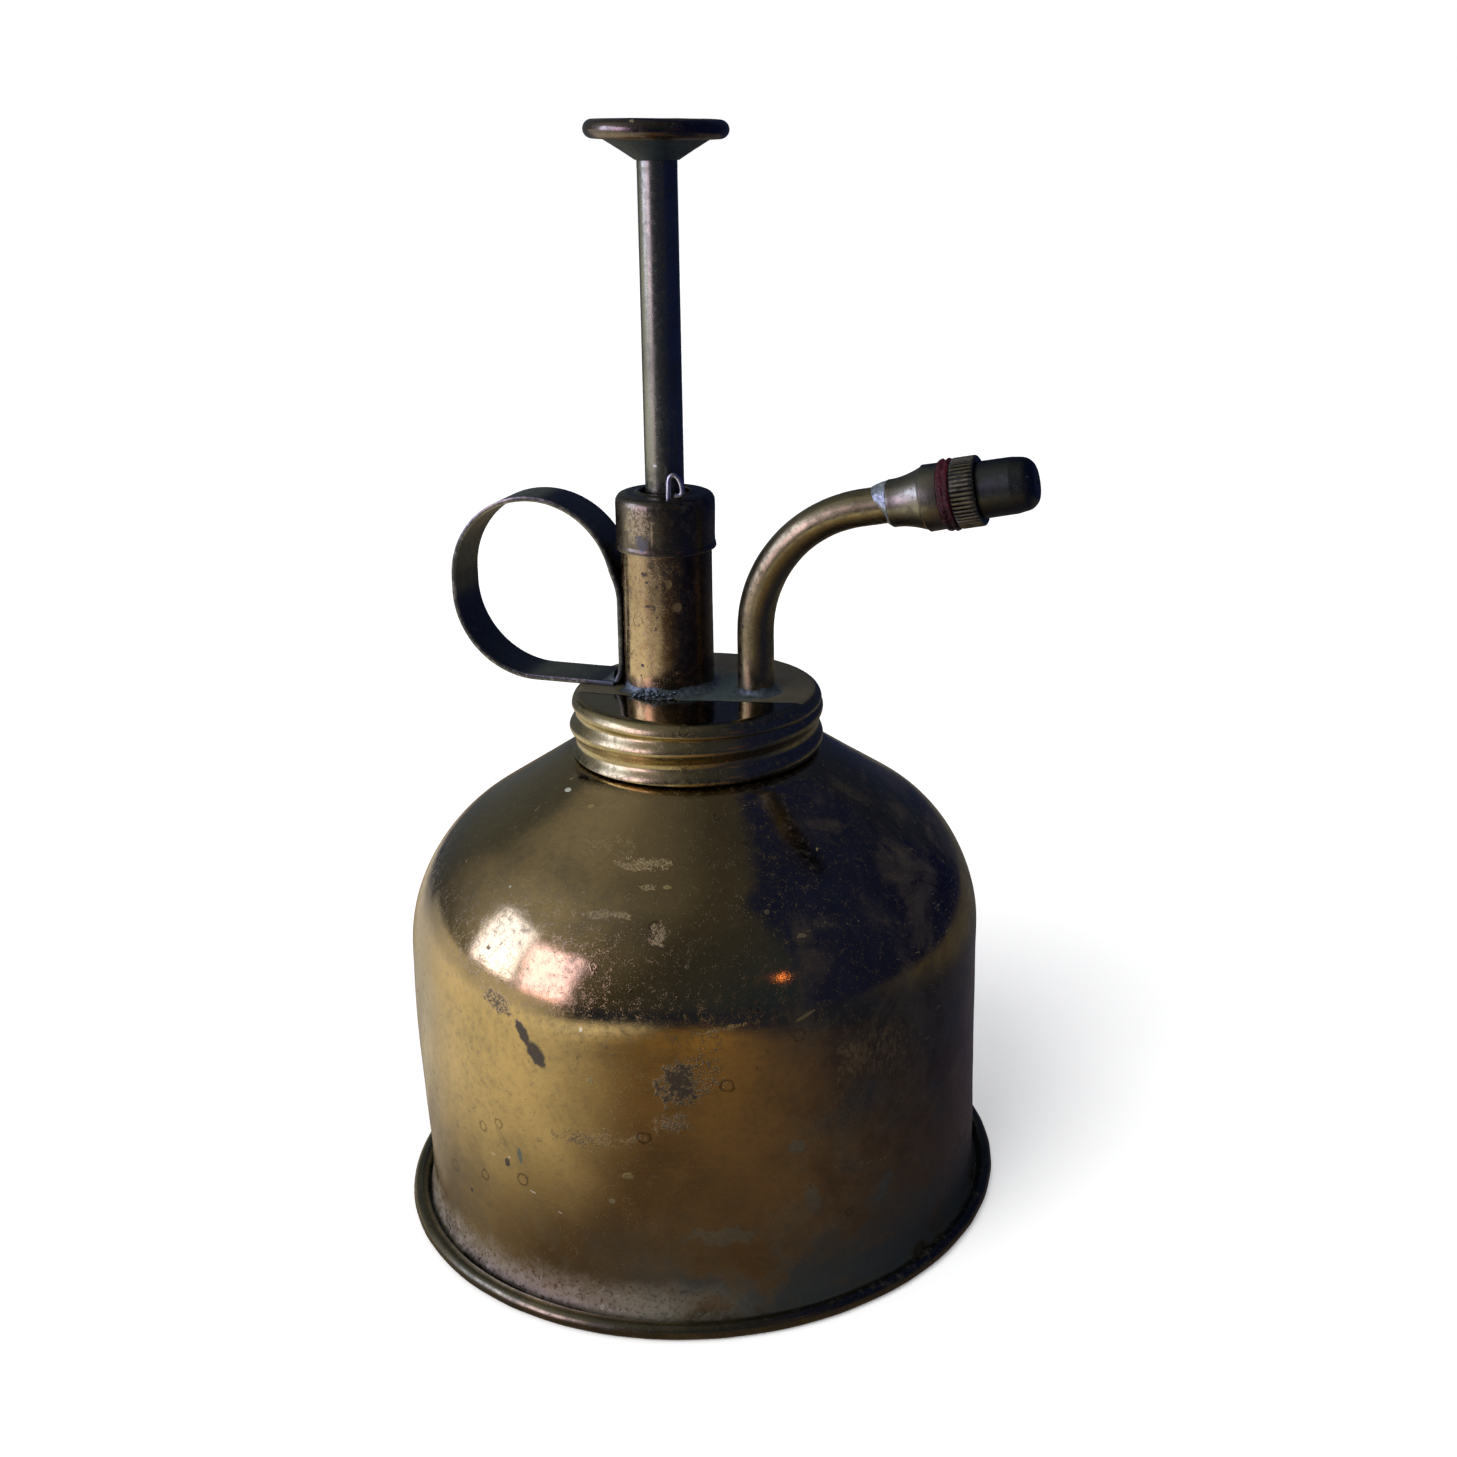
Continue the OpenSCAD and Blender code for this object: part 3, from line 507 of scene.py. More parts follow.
def barrel_marks(g, colour, rough, metal, height):
    """Dark spots on the barrel's front, painted shade that darkens its right side to brown and near-black, and the
    crust at its foot.
    """
    g.ragged = g.noise(1.6, 5, 0.7)
    spots = patches(
        g, round_point(BARREL_R),
        (-81.4, 105.6, 0.42, 0.38, 0, 0.12), (-67.5, 106.0, 0.6, 0.8, 0, 0.2), (-57.5, 102.2, 0.9, 0.9, 0, 0.3),
        (-92, 102.3, 1.3, 0.28, 8, 0.5), (-86, 101.9, 0.3, 0.7, 0, 0.5), (-104.5, 92.3, 0.42, 0.36, 0, 0.12),
        (-82, 100.5, 0.2, 0.3, 0, 0.1), (-97, 107.4, 0.7, 0.4, 0, 0.8), (-95, 106.2, 0.35, 0.3, 0, 0.5),
        (-107, 90.6, 0.18, 0.2, 0, 0.1))
    colour = g.tint(colour, (0.035, 0.025, 0.02), spots, 0.88)
    # painted shade: the barrel's right side is darkened, first to brown and then to near-black
    toward_right = g.facing(-8, BARREL_R, at=g.vector("SUBTRACT", g.p, (BX, 0.0, 0.0)))
    right = g.plus(toward_right, g.swing(g.noise(0.35, 4, 0.65), 0.9))
    colour = g.tint(colour, (0.20, 0.13, 0.06), g.step(right, 0.25, 0.62), 0.8)
    colour = g.tint(colour, (0.05, 0.038, 0.03), g.step(right, 0.55, 0.95), 0.85)
    mottle = g.times(g.clouds(0.55, 0.62, 1.1, 5, 0.75), g.step(right, 0.5, 0.1))
    colour = g.tint(colour, (0.20, 0.13, 0.06), mottle, 0.5)
    rough = g.plus(rough, g.times(g.step(right, 0.3, 0.8), 0.12), g.times(mottle, 0.1))
    z = g.split(g.p)[2]
    foot = g.times(g.step(g.plus(z, g.swing(g.ragged, 2.5)), 90.2, 88.6), 0.6)
    colour = g.mix(foot, colour, (0.10, 0.085, 0.06))
    colour = g.tint(colour, (0.30, 0.15, 0.065), g.clouds(0.52, 0.70, 0.3, 5, 0.7), 0.5)
    rough = g.plus(rough, g.times(spots, 0.3), g.times(foot, 0.15))
    return colour, rough, g.less(metal, spots, 0.6), g.plus(height, g.times(spots, -0.6))


def cap_marks(g, colour, rough, metal, height):
    """The cap's worn and stained front left, its dark top and the pale line at its hem."""
    g.ragged = g.noise(1.3, 5, 0.7)
    side = round_point(CAP_R)
    worn = g.times(patch(g, side, -104, 115.3, 2.9, 3.3, 0, 0.5), g.clouds(0.40, 0.56, 1.9, 6, 0.75))
    colour = g.tint(colour, (0.45, 0.375, 0.235), worn, 0.8)
    stain = patch(g, side, -98, 112.6, 1.3, 1.5, 0, 0.7)
    colour = g.tint(colour, (0.09, 0.095, 0.115), stain, 0.85)
    streak = patch(g, side, -85.5, 114.2, 0.2, 2.4, 0, 0.25)
    colour = g.tint(colour, (0.62, 0.50, 0.33), streak, 0.9)
    z = g.split(g.p)[2]
    hem = g.times(g.step(z, CAP_FOOT + 0.22, CAP_FOOT + 0.05), g.clouds(0.40, 0.55, 0.6, 3, 0.6))
    colour = g.tint(colour, (0.52, 0.47, 0.38), hem, 0.7)
    colour = g.tint(colour, (0.06, 0.062, 0.062), g.step(z, CAP_TOP - 1.3, CAP_TOP - 0.4), 0.5)
    return colour, g.plus(rough, g.times(g.most(worn, stain), 0.08)), g.less(metal, stain, 0.5), height


def ring_marks(g, colour, rough, metal, height):
    """Dark edges with pale painted highlight streaks on the ring's strip, painted light on its upper part, and dull
    solder colour at its foot.
    """
    x, y, z = g.split(g.p)
    edge = g.step(g.math("ABSOLUTE", y), 3.98, 4.03)
    colour = g.tint(colour, (0.075, 0.078, 0.075), edge, 0.9)
    # painted highlight: pale streaks along the strip's dark edges
    colour = g.tint(colour, (0.30, 0.29, 0.25), edge, g.clouds(0.50, 0.60, 0.7, 5, 0.7), 0.55)
    # painted light: the ring's upper part is lighter and yellower
    colour = g.tint(colour, (0.28, 0.265, 0.19), g.step(z, 108.0, 117.0), g.clouds(0.35, 0.6, 0.25, 4, 0.6), 0.6)
    foot = g.times(g.step(g.plus(x, g.times(g.noise(0.5, 4, 0.7), 3.0)), -17.0, -13.5), g.step(z, 90.5, 88.0))
    colour = g.tint(colour, (0.13, 0.16, 0.17), foot, 0.8)
    return colour, g.plus(rough, g.times(foot, 0.25)), metal, height


def rod_marks(g, colour, rough, metal, height):
    """Grease at the rod's foot and a pale dot above it."""
    z = g.split(g.p)[2]
    g.ragged = g.noise(1.8, 4, 0.7)
    colour = g.tint(colour, (0.07, 0.065, 0.05), g.step(z, 124.0, 121.5), g.clouds(0.42, 0.6, 0.8, 4, 0.7), 0.7)
    dot = patch(g, round_point(ROD_R), -97, 124.1, 0.45, 0.25, 0, 0.3)
    return g.mix(dot, colour, (0.6, 0.62, 0.6)), rough, metal, height


def cone_marks(g, colour, rough, metal, height):
    """Matt blue-green patina under the button."""
    cloud = g.noise(0.35, 5, 0.7, 0.5)
    colour = g.mix(g.step(cloud, 0.40, 0.62), (0.085, 0.135, 0.15), (0.045, 0.075, 0.09))
    return colour, rough, g.times(g.step(cloud, 0.4, 0.6), 0.35), height


def nozzle_marks(g, colour, rough, metal, height):
    """Painted highlight on the knurl's yellow crests, and painted shade in the grooves between them."""
    offset = g.vector("SUBTRACT", g.p, tuple(NOZZLE_START))
    along = g.vector("DOT_PRODUCT", offset, tuple(NOZZLE_DIR))
    on_axis = g.vector("MULTIPLY", g.join(along, along, along), tuple(NOZZLE_DIR))
    radius = g.vector("LENGTH", g.vector("SUBTRACT", offset, on_axis))
    # painted highlight: the crests are lighter and yellower
    crest_highlight = g.times(g.step(radius, 5.30, 5.46), g.clouds(0.34, 0.52, 0.8, 4, 0.7))
    # painted shade: the grooves are darkened
    groove_shade = g.times(g.step(radius, 5.34, 5.16), g.step(radius, 4.9, 5.0))
    colour = g.tint(colour, (0.27, 0.245, 0.14), crest_highlight, 0.75)
    return g.tint(colour, (0.018, 0.026, 0.03), groove_shade, 0.85), rough, metal, height


UP_AND_DOWN = (1.2, 1.2, 0.12)  # draws a pattern out along z

# Each brass has its bright, tarnished and oxidised colour.
TANK = old_brass("tank_brass", (0.50, 0.365, 0.165), (0.29, 0.225, 0.12), (0.065, 0.052, 0.036), tarnish=0.6,
                 rough=0.10, pits=0.7, soot=0.3, grain=(0.12, 0.12, 1.5), extra=tank_marks, flecks=0.7)
PAN = old_brass("pan_brass", (0.32, 0.275, 0.15), (0.13, 0.12, 0.075), (0.022, 0.026, 0.028),
                tarnish=1.0, rough=0.26, pits=0.5, soot=0.8, green=0.2)
LID = old_brass("lid_brass", (0.47, 0.385, 0.185), (0.27, 0.225, 0.115), (0.05, 0.05, 0.045), tarnish=0.75,
                rough=0.25, pits=0.6, soot=0.5, green=0.25, grain=(0.15, 0.15, 2.0), extra=lid_marks)
BARREL = old_brass("barrel_brass", (0.56, 0.42, 0.22), (0.36, 0.26, 0.13), (0.06, 0.045, 0.035), tarnish=0.5,
                   rough=0.17, pits=1.0, soot=0.45, grain=UP_AND_DOWN, flecks=0.5, extra=barrel_marks)
CAP = old_brass("cap_brass", (0.26, 0.22, 0.135), (0.13, 0.11, 0.075), (0.035, 0.036, 0.042),
                tarnish=0.8, rough=0.26, pits=0.8, soot=0.7, grain=UP_AND_DOWN, extra=cap_marks)
ROD = old_brass("rod_brass", (0.34, 0.34, 0.245), (0.17, 0.17, 0.125), (0.055, 0.055, 0.05),
                tarnish=0.7, rough=0.26, pits=0.5, soot=0.5, grain=(1.5, 1.5, 0.05), extra=rod_marks)
SPOUT = old_brass("spout_brass", (0.37, 0.315, 0.165), (0.18, 0.15, 0.08), (0.045, 0.04, 0.03),
                  tarnish=0.65, rough=0.30, pits=1.0, soot=0.6, green=0.15)
FERRULE = old_brass("ferrule_brass", (0.27, 0.255, 0.18), (0.155, 0.145, 0.105), (0.05, 0.052, 0.05),
                    tarnish=0.6, rough=0.32, pits=0.6, soot=0.5, grain=(1.6, 0.2, 0.2))
NOZZLE = old_brass("nozzle_brass", (0.125, 0.135, 0.115), (0.07, 0.078, 0.07), (0.025, 0.032, 0.036),
                   tarnish=0.9, rough=0.34, pits=0.8, soot=0.6, green=0.3, extra=nozzle_marks)
RING = old_brass("ring_brass", (0.27, 0.255, 0.17), (0.125, 0.125, 0.10), (0.035, 0.045, 0.052),
                 tarnish=0.9, rough=0.25, pits=0.5, soot=0.6, extra=ring_marks)
BUTTON = old_brass("button_brass", (0.26, 0.21, 0.155), (0.13, 0.105, 0.085), (0.03, 0.028, 0.03),
                   tarnish=0.85, rough=0.22, pits=0.5, soot=0.5)
CONE = old_brass("cone_brass", (0.17, 0.22, 0.21), (0.09, 0.13, 0.135), (0.035, 0.055, 0.065),
                 tarnish=1.0, rough=0.45, pits=0.6, soot=0.6, green=1.0, extra=cone_marks)
INNER = old_brass("inner_brass", (0.60, 0.46, 0.22), (0.42, 0.32, 0.14), (0.10, 0.07, 0.04),
                  tarnish=0.35, rough=0.28, pits=0.4, soot=0.2)


def solder(name, pale, dull, crust):
    """Old tin solder: grey, lumpy and partly blackened."""
    g = Graph(name)
    lumps = g.noise(1.6, 5, 0.65)
    soot = g.clouds(0.46, 0.62, 0.45, 5, 0.7)
    colour = g.mix(g.step(lumps, 0.35, 0.65), dull, pale)
    colour = g.tint(colour, (0.03, 0.035, 0.04), soot, crust)
    g.bump(g.plus(g.times(lumps, 0.7), g.times(g.noise(6.0, 3, 0.6), 0.2)), 0.25)
    return g.finish(colour, g.lerp(soot, 0.34, 0.62), g.lerp(soot, 0.85, 0.45))


def plain_metal(name, colour, rough):
    g = Graph(name)
    cloud = g.noise(0.7, 4, 0.6)
    g.bump(g.noise(5.0, 3, 0.6), 0.03)
    shade = g.mix(g.step(cloud, 0.35, 0.7), colour, tuple(c * 0.6 for c in colour))
    return g.finish(shade, g.plus(rough, g.times(cloud, 0.15)), 1.0)


def washer_red():
    """Dark red sealing compound, crinkled and glossy."""
    g = Graph("red_washer")
    crinkle = g.noise(1.4, 6, 0.7, 1.2)
    fine = g.noise(5.0, 4, 0.6)
    colour = g.mix(g.step(crinkle, 0.35, 0.65), (0.018, 0.002, 0.004), (0.075, 0.008, 0.012))
    colour = g.mix(g.step(fine, 0.64, 0.78), colour, (0.14, 0.035, 0.025))
    g.bump(g.plus(g.times(crinkle, 0.8), g.times(fine, 0.2)), 0.5)
    return g.finish(colour, g.lerp(crinkle, 0.14, 0.42), 0.0)


def soft_stuff(name, dark, pale, rough, scale):
    g = Graph(name)
    grain = g.noise(scale, 5, 0.65)
    g.bump(grain, 0.08)
    return g.finish(g.mix(grain, dark, pale), g.plus(rough, g.times(grain, 0.2)), 0.0)


SOLDER = solder("grey_solder", (0.20, 0.245, 0.26), (0.085, 0.11, 0.12), 0.9)
BRIGHT_SOLDER = solder("bright_solder", (0.50, 0.55, 0.59), (0.19, 0.23, 0.25), 0.5)
STEEL = plain_metal("steel", (0.58, 0.58, 0.58), 0.22)
WIRE = plain_metal("zinc_wire", (0.80, 0.81, 0.84), 0.25)
WASHER = washer_red()
RUBBER = soft_stuff("black_rubber", (0.012, 0.011, 0.010), (0.035, 0.032, 0.03), 0.6, 2.0)
LEATHER = soft_stuff("leather", (0.07, 0.035, 0.018), (0.16, 0.09, 0.045), 0.45, 3.0)


# ---------------------------------------------------------------- mesh tools

def link_mesh(name, verts, faces, material=None):
    mesh = bpy.data.meshes.new(name)
    mesh.from_pydata(verts, [], faces)
    if material:
        mesh.materials.append(material)
    made = bpy.data.objects.new(name, mesh)
    bpy.context.scene.collection.objects.link(made)
    return made


def smooth(mesh):
    mesh.polygons.foreach_set("use_smooth", [True] * len(mesh.polygons))


def make(name, verts, faces, material, body, slot, replaced, sharp=38.0):
    """A closed mesh from millimetre points, riding on a body in a CAD node's place."""
    obj = link_mesh(name, [Vector(v) * MM for v in verts], faces, material)
    edit = bmesh.new()
    edit.from_mesh(obj.data)
    bmesh.ops.recalc_face_normals(edit, faces=edit.faces)
    edit.to_mesh(obj.data)
    edit.free()
    smooth(obj.data)
    obj.data.set_sharp_from_angle(angle=math.radians(sharp))
    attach(obj, body)
    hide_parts(replaced)
    return obj


def rounded(points, steps=5):
    """A closed loop of (r, z, fillet) corners with each corner rounded to its fillet radius."""
    result = []
    for i, (r, z, fillet) in enumerate(points):
        here = Vector((r, z))
        if fillet <= 0:
            result.append((r, z))
            continue
        before = Vector(points[i - 1][:2]) - here
        after = Vector(points[(i + 1) % len(points)][:2]) - here
        half = before.angle(after) / 2
        reach = min(fillet / math.tan(half), before.length * 0.49, after.length * 0.49)
        a, b = here + before.normalized() * reach, here + after.normalized() * reach
        for k in range(steps + 1):
            t = k / steps
            q = a * (1 - t) ** 2 + here * 2 * t * (1 - t) + b * t ** 2
            result.append((q.x, q.y))
    return result


def refined(profile, longest, closed=True):
    """The profile with its long edges divided."""
    result = []
    count = len(profile)
    for i in range(count if closed else count - 1):
        a, b = Vector(profile[i]), Vector(profile[(i + 1) % count])
        pieces = max(1, math.ceil((b - a).length / longest))
        result += [tuple(a.lerp(b, k / pieces)) for k in range(pieces)]
    if not closed:
        result.append(profile[-1])
    return result


def grid_faces(rows, columns, wrap_rows):
    """Quads between rows of points that each close on themselves."""
    faces = []
    for j in range(rows if wrap_rows else rows - 1):
        here, above = j * columns, (j + 1) % rows * columns
        for i in range(columns):
            k = (i + 1) % columns
            faces.append((here + i, here + k, above + k, above + i))
    return faces


def lathe(profile, segments=ROUND, place=None, warp=None):
    """(verts, faces) of a profile turned round Z: a closed loop, or a line that starts and ends at r = 0."""
    polar = profile[0][0] == 0 and profile[-1][0] == 0
    loop = profile[1:-1] if polar else profile
    verts = []
    for r, z in loop:
        for i in range(segments):
            a = 2 * math.pi * i / segments
            p = Vector((r * math.cos(a), r * math.sin(a), z))
            verts.append(warp(p, a) if warp else p)
    faces = grid_faces(len(loop), segments, not polar)
    if polar:
        start, end = len(verts), len(verts) + 1
        verts += [Vector((0, 0, profile[0][1])), Vector((0, 0, profile[-1][1]))]
        last = (len(loop) - 1) * segments
        for i in range(segments):
            faces.append((start, (i + 1) % segments, i))
            faces.append((end, last + i, last + (i + 1) % segments))
    if place:
        verts = [place @ v for v in verts]
    return verts, faces


def swept(path, section):
    """(verts, faces) of a closed section carried along a path; section points are (side, up)."""
    verts, rows = [], len(path)
    tangent = [(path[min(i + 1, rows - 1)] - path[max(i - 1, 0)]).normalized() for i in range(rows)]
    side = Vector((0, 1, 0))
    side = (side - tangent[0] * side.dot(tangent[0])).normalized()
    for i in range(rows):
        side = (side - tangent[i] * side.dot(tangent[i])).normalized()
        up = tangent[i].cross(side)
        shape = section(i) if callable(section) else section
        verts += [path[i] + side * a + up * b for a, b in shape]
    n = len(verts) // rows
    faces = grid_faces(rows, n, False)
    faces.append(tuple(range(n)))
    faces.append(tuple((rows - 1) * n + i for i in range(n - 1, -1, -1)))
    return verts, faces


def ring_section(radius, count):
    return [(radius * cosd(360 * i / count), radius * sind(360 * i / count)) for i in range(count)]


def pipe(path, outer, inner, count=48):
    """(verts, faces) of a hollow tube along a path, open at both ends."""
    def sheet(radius):
        return swept(path, radius if callable(radius) else ring_section(radius, count))
    out_verts, out_faces = sheet(outer)
    in_verts, in_faces = sheet(inner)
    base = len(out_verts)
    n = count
    faces = out_faces[:-2] + [tuple(base + i for i in reversed(f)) for f in in_faces[:-2]]
    last = base - n
    for i in range(n):
        j = (i + 1) % n
        faces.append((j, i, base + i, base + j))
        faces.append((last + i, last + j, base + last + j, base + last + i))
    return out_verts + in_verts, faces


def wobble(p, scale, amount, seed=0.0):
    return amount * noise.noise(Vector((p.x * scale + seed, p.y * scale, p.z * scale)))


# ---------------------------------------------------------------- tank

def shoulder(inset, stop=SHOULDER_ANGLE, step=2.0):
    count = int(round(stop / step))
    return [(WALL_R - SHOULDER_R + (SHOULDER_R - inset) * cosd(i * step),
             SHOULDER_Z + (SHOULDER_R - inset) * sind(i * step))
            for i in range(count + 1)]


def cone_z(inset, r):
    last = shoulder(inset)[-1]
    return last[1] + (last[0] - r) / math.tan(math.radians(SHOULDER_ANGLE))


def make_tank():
    outer = ([(WALL_R + 0.7, 0.82), (WALL_R + 0.62, 1.3), (WALL_R + 0.48, 1.9), (WALL_R + 0.25, 2.9),
              (WALL_R + 0.08, 4.0), (WALL_R, 5.2)]
             + shoulder(0)
             + [(21.6, cone_z(0, 21.6)), (20.7, 76.98), (19.9, 77.15), (19.2, 77.2)])
    inner = ([(18.2, 77.2), (18.2, 76.4), (20.6, cone_z(0.8, 20.6))]
             + shoulder(0.8, step=8.0)[::-1]
             + [(WALL_R - 0.8, 5.2), (WALL_R - 0.1, 0.82)])
    profile = refined(outer, 1.2, closed=False) + inner

    def warp(p, a):
        r = math.hypot(p.x, p.y)
        ease = min(1, max(0, (p.z - 4) / 8)) * min(1, max(0, (r - 22) / 8))
        push = wobble(p, 0.045, 0.22, 3.0) + wobble(p, 0.13, 0.06, 9.0)
        # the tank's upper half is a little fuller towards -X and -Y
        lean = max(0, math.cos(a - math.radians(-160))) * math.sin(math.pi * unit((p.z - 8) / 68)) * 1.15
        out = outward(p)
        return p + out * (push + lean - 0.10) * ease

    make("tank_shell", *lathe(profile, WIDE, warp=warp),
         TANK, "reservoir", "tank_brass", "reservoir_shell", 50)


def make_pan():
    c = BASE_R - BEAD_R
    bead = [(c + BEAD_R * cosd(t), BEAD_R + BEAD_R * sind(t))
            for t in range(-90, 171, 12)]
    profile = [(0, 0)] + refined([(6.0, 0), (c, 0)], 4.0, closed=False)[:-1] + bead + \
        [(c - BEAD_R * 1.02, 1.05), (c - BEAD_R * 0.9, 0.84), (c - 2, 0.8), (30, 0.8), (6, 0.8), (0, 0.8)]

    def warp(p, a):
        r = math.hypot(p.x, p.y)
        if r < c - 1.5 or p.z < 0.02:
            return p
        out = outward(p)
        sink = abs(wobble(p, 0.09, 0.10, 1.0)) * p.z / (2 * BEAD_R)
        return p - out * abs(wobble(p, 0.12, 0.16, 5.0)) - Vector((0, 0, sink))

    make("base_dish", *lathe(profile, WIDE, warp=warp), PAN, "reservoir", "tank_brass", "base_pan", 50)


def make_base_solder():
    profile = [(WALL_R + 0.70, 0.82), (WALL_R + 0.87, 0.82), (WALL_R + 0.88, 1.05), (WALL_R + 0.80, 1.2),
               (WALL_R + 0.68, 1.25), (WALL_R + 0.64, 1.2)]

    def warp(p, a):
        return p + Vector((0, 0, 1)) * max(-0.1, wobble(p, 0.5, 0.14, 2.0)) * (1 if p.z > 1 else 0)

    make("base_seam", *lathe(profile, WIDE, warp=warp), SOLDER, "reservoir", "solder", "base_solder", 60)


# ---------------------------------------------------------------- lid and neck

def ridge(u, width):
    return math.cos(math.pi * u / width) ** 2 if abs(u) < width / 2 else 0.0


def thread(angle, z, width, start, end, fade):
    best = 0.0
    for k in (-1, 0, 1):
        full = angle + 360 * k
        amount = unit((full - start) / fade) * unit((end - full) / fade)
        best = max(best, amount * ridge((z - THREAD_ZERO) / THREAD_PITCH - full / 360, width))
    return best


def make_lid():
    radius, edge, wall, n = 20.35, 2.0, 0.6, 240
    valley = 19.8
    join = LID_TOP - edge
    verts, rows = [], 0

    def circle(radius_at, z, rough=0.0):
        nonlocal rows
        for i in range(n):
            a = 360 * i / n
            r = radius_at(a) if callable(radius_at) else radius_at
            p = Vector((r * cosd(a), r * sind(a), z))
            out = outward(p)
            verts.append(p + out * wobble(p, 0.2, rough, 4.0))
        rows += 1

    def bead(a, z):
        swell = unit((z - join + 1.0) / 0.9) ** 2 * (radius - valley)
        fuller = 0.16 + 0.10 * cosd(a + 150)
        return valley + max((0.72 + fuller) * thread(a, z, 0.88, -400, 450, 50) ** 0.8, swell)

    circle(lambda a: bead(a, LID_BOTTOM) - 0.12, LID_BOTTOM + 0.02, 0.05)
    for j in range(53):
        z = LID_BOTTOM + 0.12 + (join - LID_BOTTOM - 0.12) * j / 52
        circle(lambda a, z=z: bead(a, z), z, 0.07)
    for t in range(6, 91, 6):
        circle(radius - edge * (1 - cosd(t)), join + edge * sind(t) - (0.01 if t > 60 else 0),
               0.04 * cosd(t))
    first = rows
    circle(2.0, LID_TOP)
    circle(2.0, LID_TOP - 0.85)
    for t in (90, 60, 30):
        circle(20.5 - edge + (edge - wall) * cosd(t) - 0.15,
               join + (LID_TOP - 0.85 - join) * sind(t))
    for j in range(14):
        z = join - (join - LID_BOTTOM - 0.02) * j / 13
        circle(lambda a, z=z: valley - wall + 0.7 * max(thread(a, z, 0.62, -400, 450, 50),
                                                        unit((z - join + 1.1) / 0.9) ** 2), z)
    faces = [f for f in grid_faces(rows, n, True) if not (f[0] // n == first and f[2] // n == first + 1)]
    faces.append(tuple(range(first * n, first * n + n)))
    faces.append(tuple(range(first * n + 2 * n - 1, first * n + n - 1, -1)))
    lid = make("lid_cap", verts, faces, LID, "lid_assembly", "tank_brass", "lid", 40)
    cut_holes(lid, [(BX, BARREL_R + 0.04), (SPOUT_X, SPOUT_R + 0.04)], LID_TOP)


def cut_holes(obj, holes, z):
    """Drills upright round holes through obj at height z."""
    cutters = []
    for x, r in holes:
        verts, faces = lathe([(0, z - 3), (r, z - 3), (r, z + 3), (0, z + 3)], 96,
                             Matrix.Translation(Vector((x, 0, 0))))
        cutter = link_mesh("cutter", [v * MM for v in verts], faces)
        tool = obj.modifiers.new("hole", "BOOLEAN")
        tool.operation, tool.solver, tool.object = "DIFFERENCE", "EXACT", cutter
        cutters.append(cutter)
    bake(obj)
    for cutter in cutters:
        bpy.data.meshes.remove(cutter.data)


def bake(obj):
    """Applies obj's modifiers to its mesh."""
    bpy.context.view_layer.update()
    graph = bpy.context.evaluated_depsgraph_get()
    mesh = bpy.data.meshes.new_from_object(obj.evaluated_get(graph))
    obj.modifiers.clear()
    old, obj.data = obj.data, mesh
    bpy.data.meshes.remove(old)


def make_neck():
    low, high = box_mm("neck_collar")
    n, rows = 240, 0
    verts = []

    def ring(z, inset):
        nonlocal rows
        for i in range(n):
            a = 360 * i / n
            r = 18.9 + 0.8 * thread(a, z, 0.42, -35, 345, 40) - inset
            verts.append(Vector((r * cosd(a), r * sind(a), z)))
        rows += 1

    for j in range(41):
        ring(low.z + (high.z - low.z) * j / 40, 0)
    for j in range(13):
        ring(high.z - (high.z - low.z) * j / 12, 0.6)
    make("neck_thread", verts, grid_faces(rows, n, True), LID, "reservoir", "tank_brass", "neck_collar", 40)


def make_barrel():
    r = BARREL_R
    low, high = BARREL_LOW.z, BARREL_HIGH.z
    profile = rounded([(r, low, 0.15), (r, high, 0.15), (r - 0.65, high, 0.15), (r - 0.65, low, 0.15)])
    profile = refined(profile, 3.0)

    def warp(p, a):
        out = outward(p)
        return p + out * wobble(p, 0.12, 0.04, 7.0) if p.z > LID_TOP + 1 else p

    make("barrel_tube", *lathe(profile, ROUND, ON_BARREL, warp),
         BARREL, "lid_assembly", "bright_brass", "pump_barrel")


def make_cap():
    r, top, foot = CAP_R, CAP_TOP - 0.35, CAP_FOOT
    profile = refined(rounded([
        (BARREL_R + 0.05, foot, 0.05), (r + 0.15, foot, 0.1), (r + 0.13, foot + 0.55, 0.15),
        (r, foot + 1.0, 0.3), (r, top, 1.8), (4.9, top + 0.05, 0.3), (4.5, top + 0.3, 0.15),
        (4.15, top + 0.34, 0.12), (4.0, top + 0.1, 0.1), (4.0, top - 1.2, 0.1),
        (BARREL_R + 0.05, top - 1.2, 0.2)]), 1.2)

    def warp(p, a):
        out = outward(p)
        r = math.hypot(p.x, p.y)
        amount = wobble(p, 0.2, 0.10, 12.0) * (1 if r > BARREL_R + 0.5 and p.z < top - 0.5 else 0)
        # the hole for the wire's end
        here = Vector((p.x, p.y)) - Vector((5.8 * cosd(-64), 5.8 * sind(-64)))
        pit = math.exp(-(here.length / 0.55) ** 4) if p.z > top - 1.0 and r > 4.3 else 0
        return p + out * amount - Vector((0, 0, 0.75 * pit))

    make("cap_shell", *lathe(profile, WIDE, ON_BARREL, warp), CAP, "lid_assembly", "dark_brass", "barrel_cap")


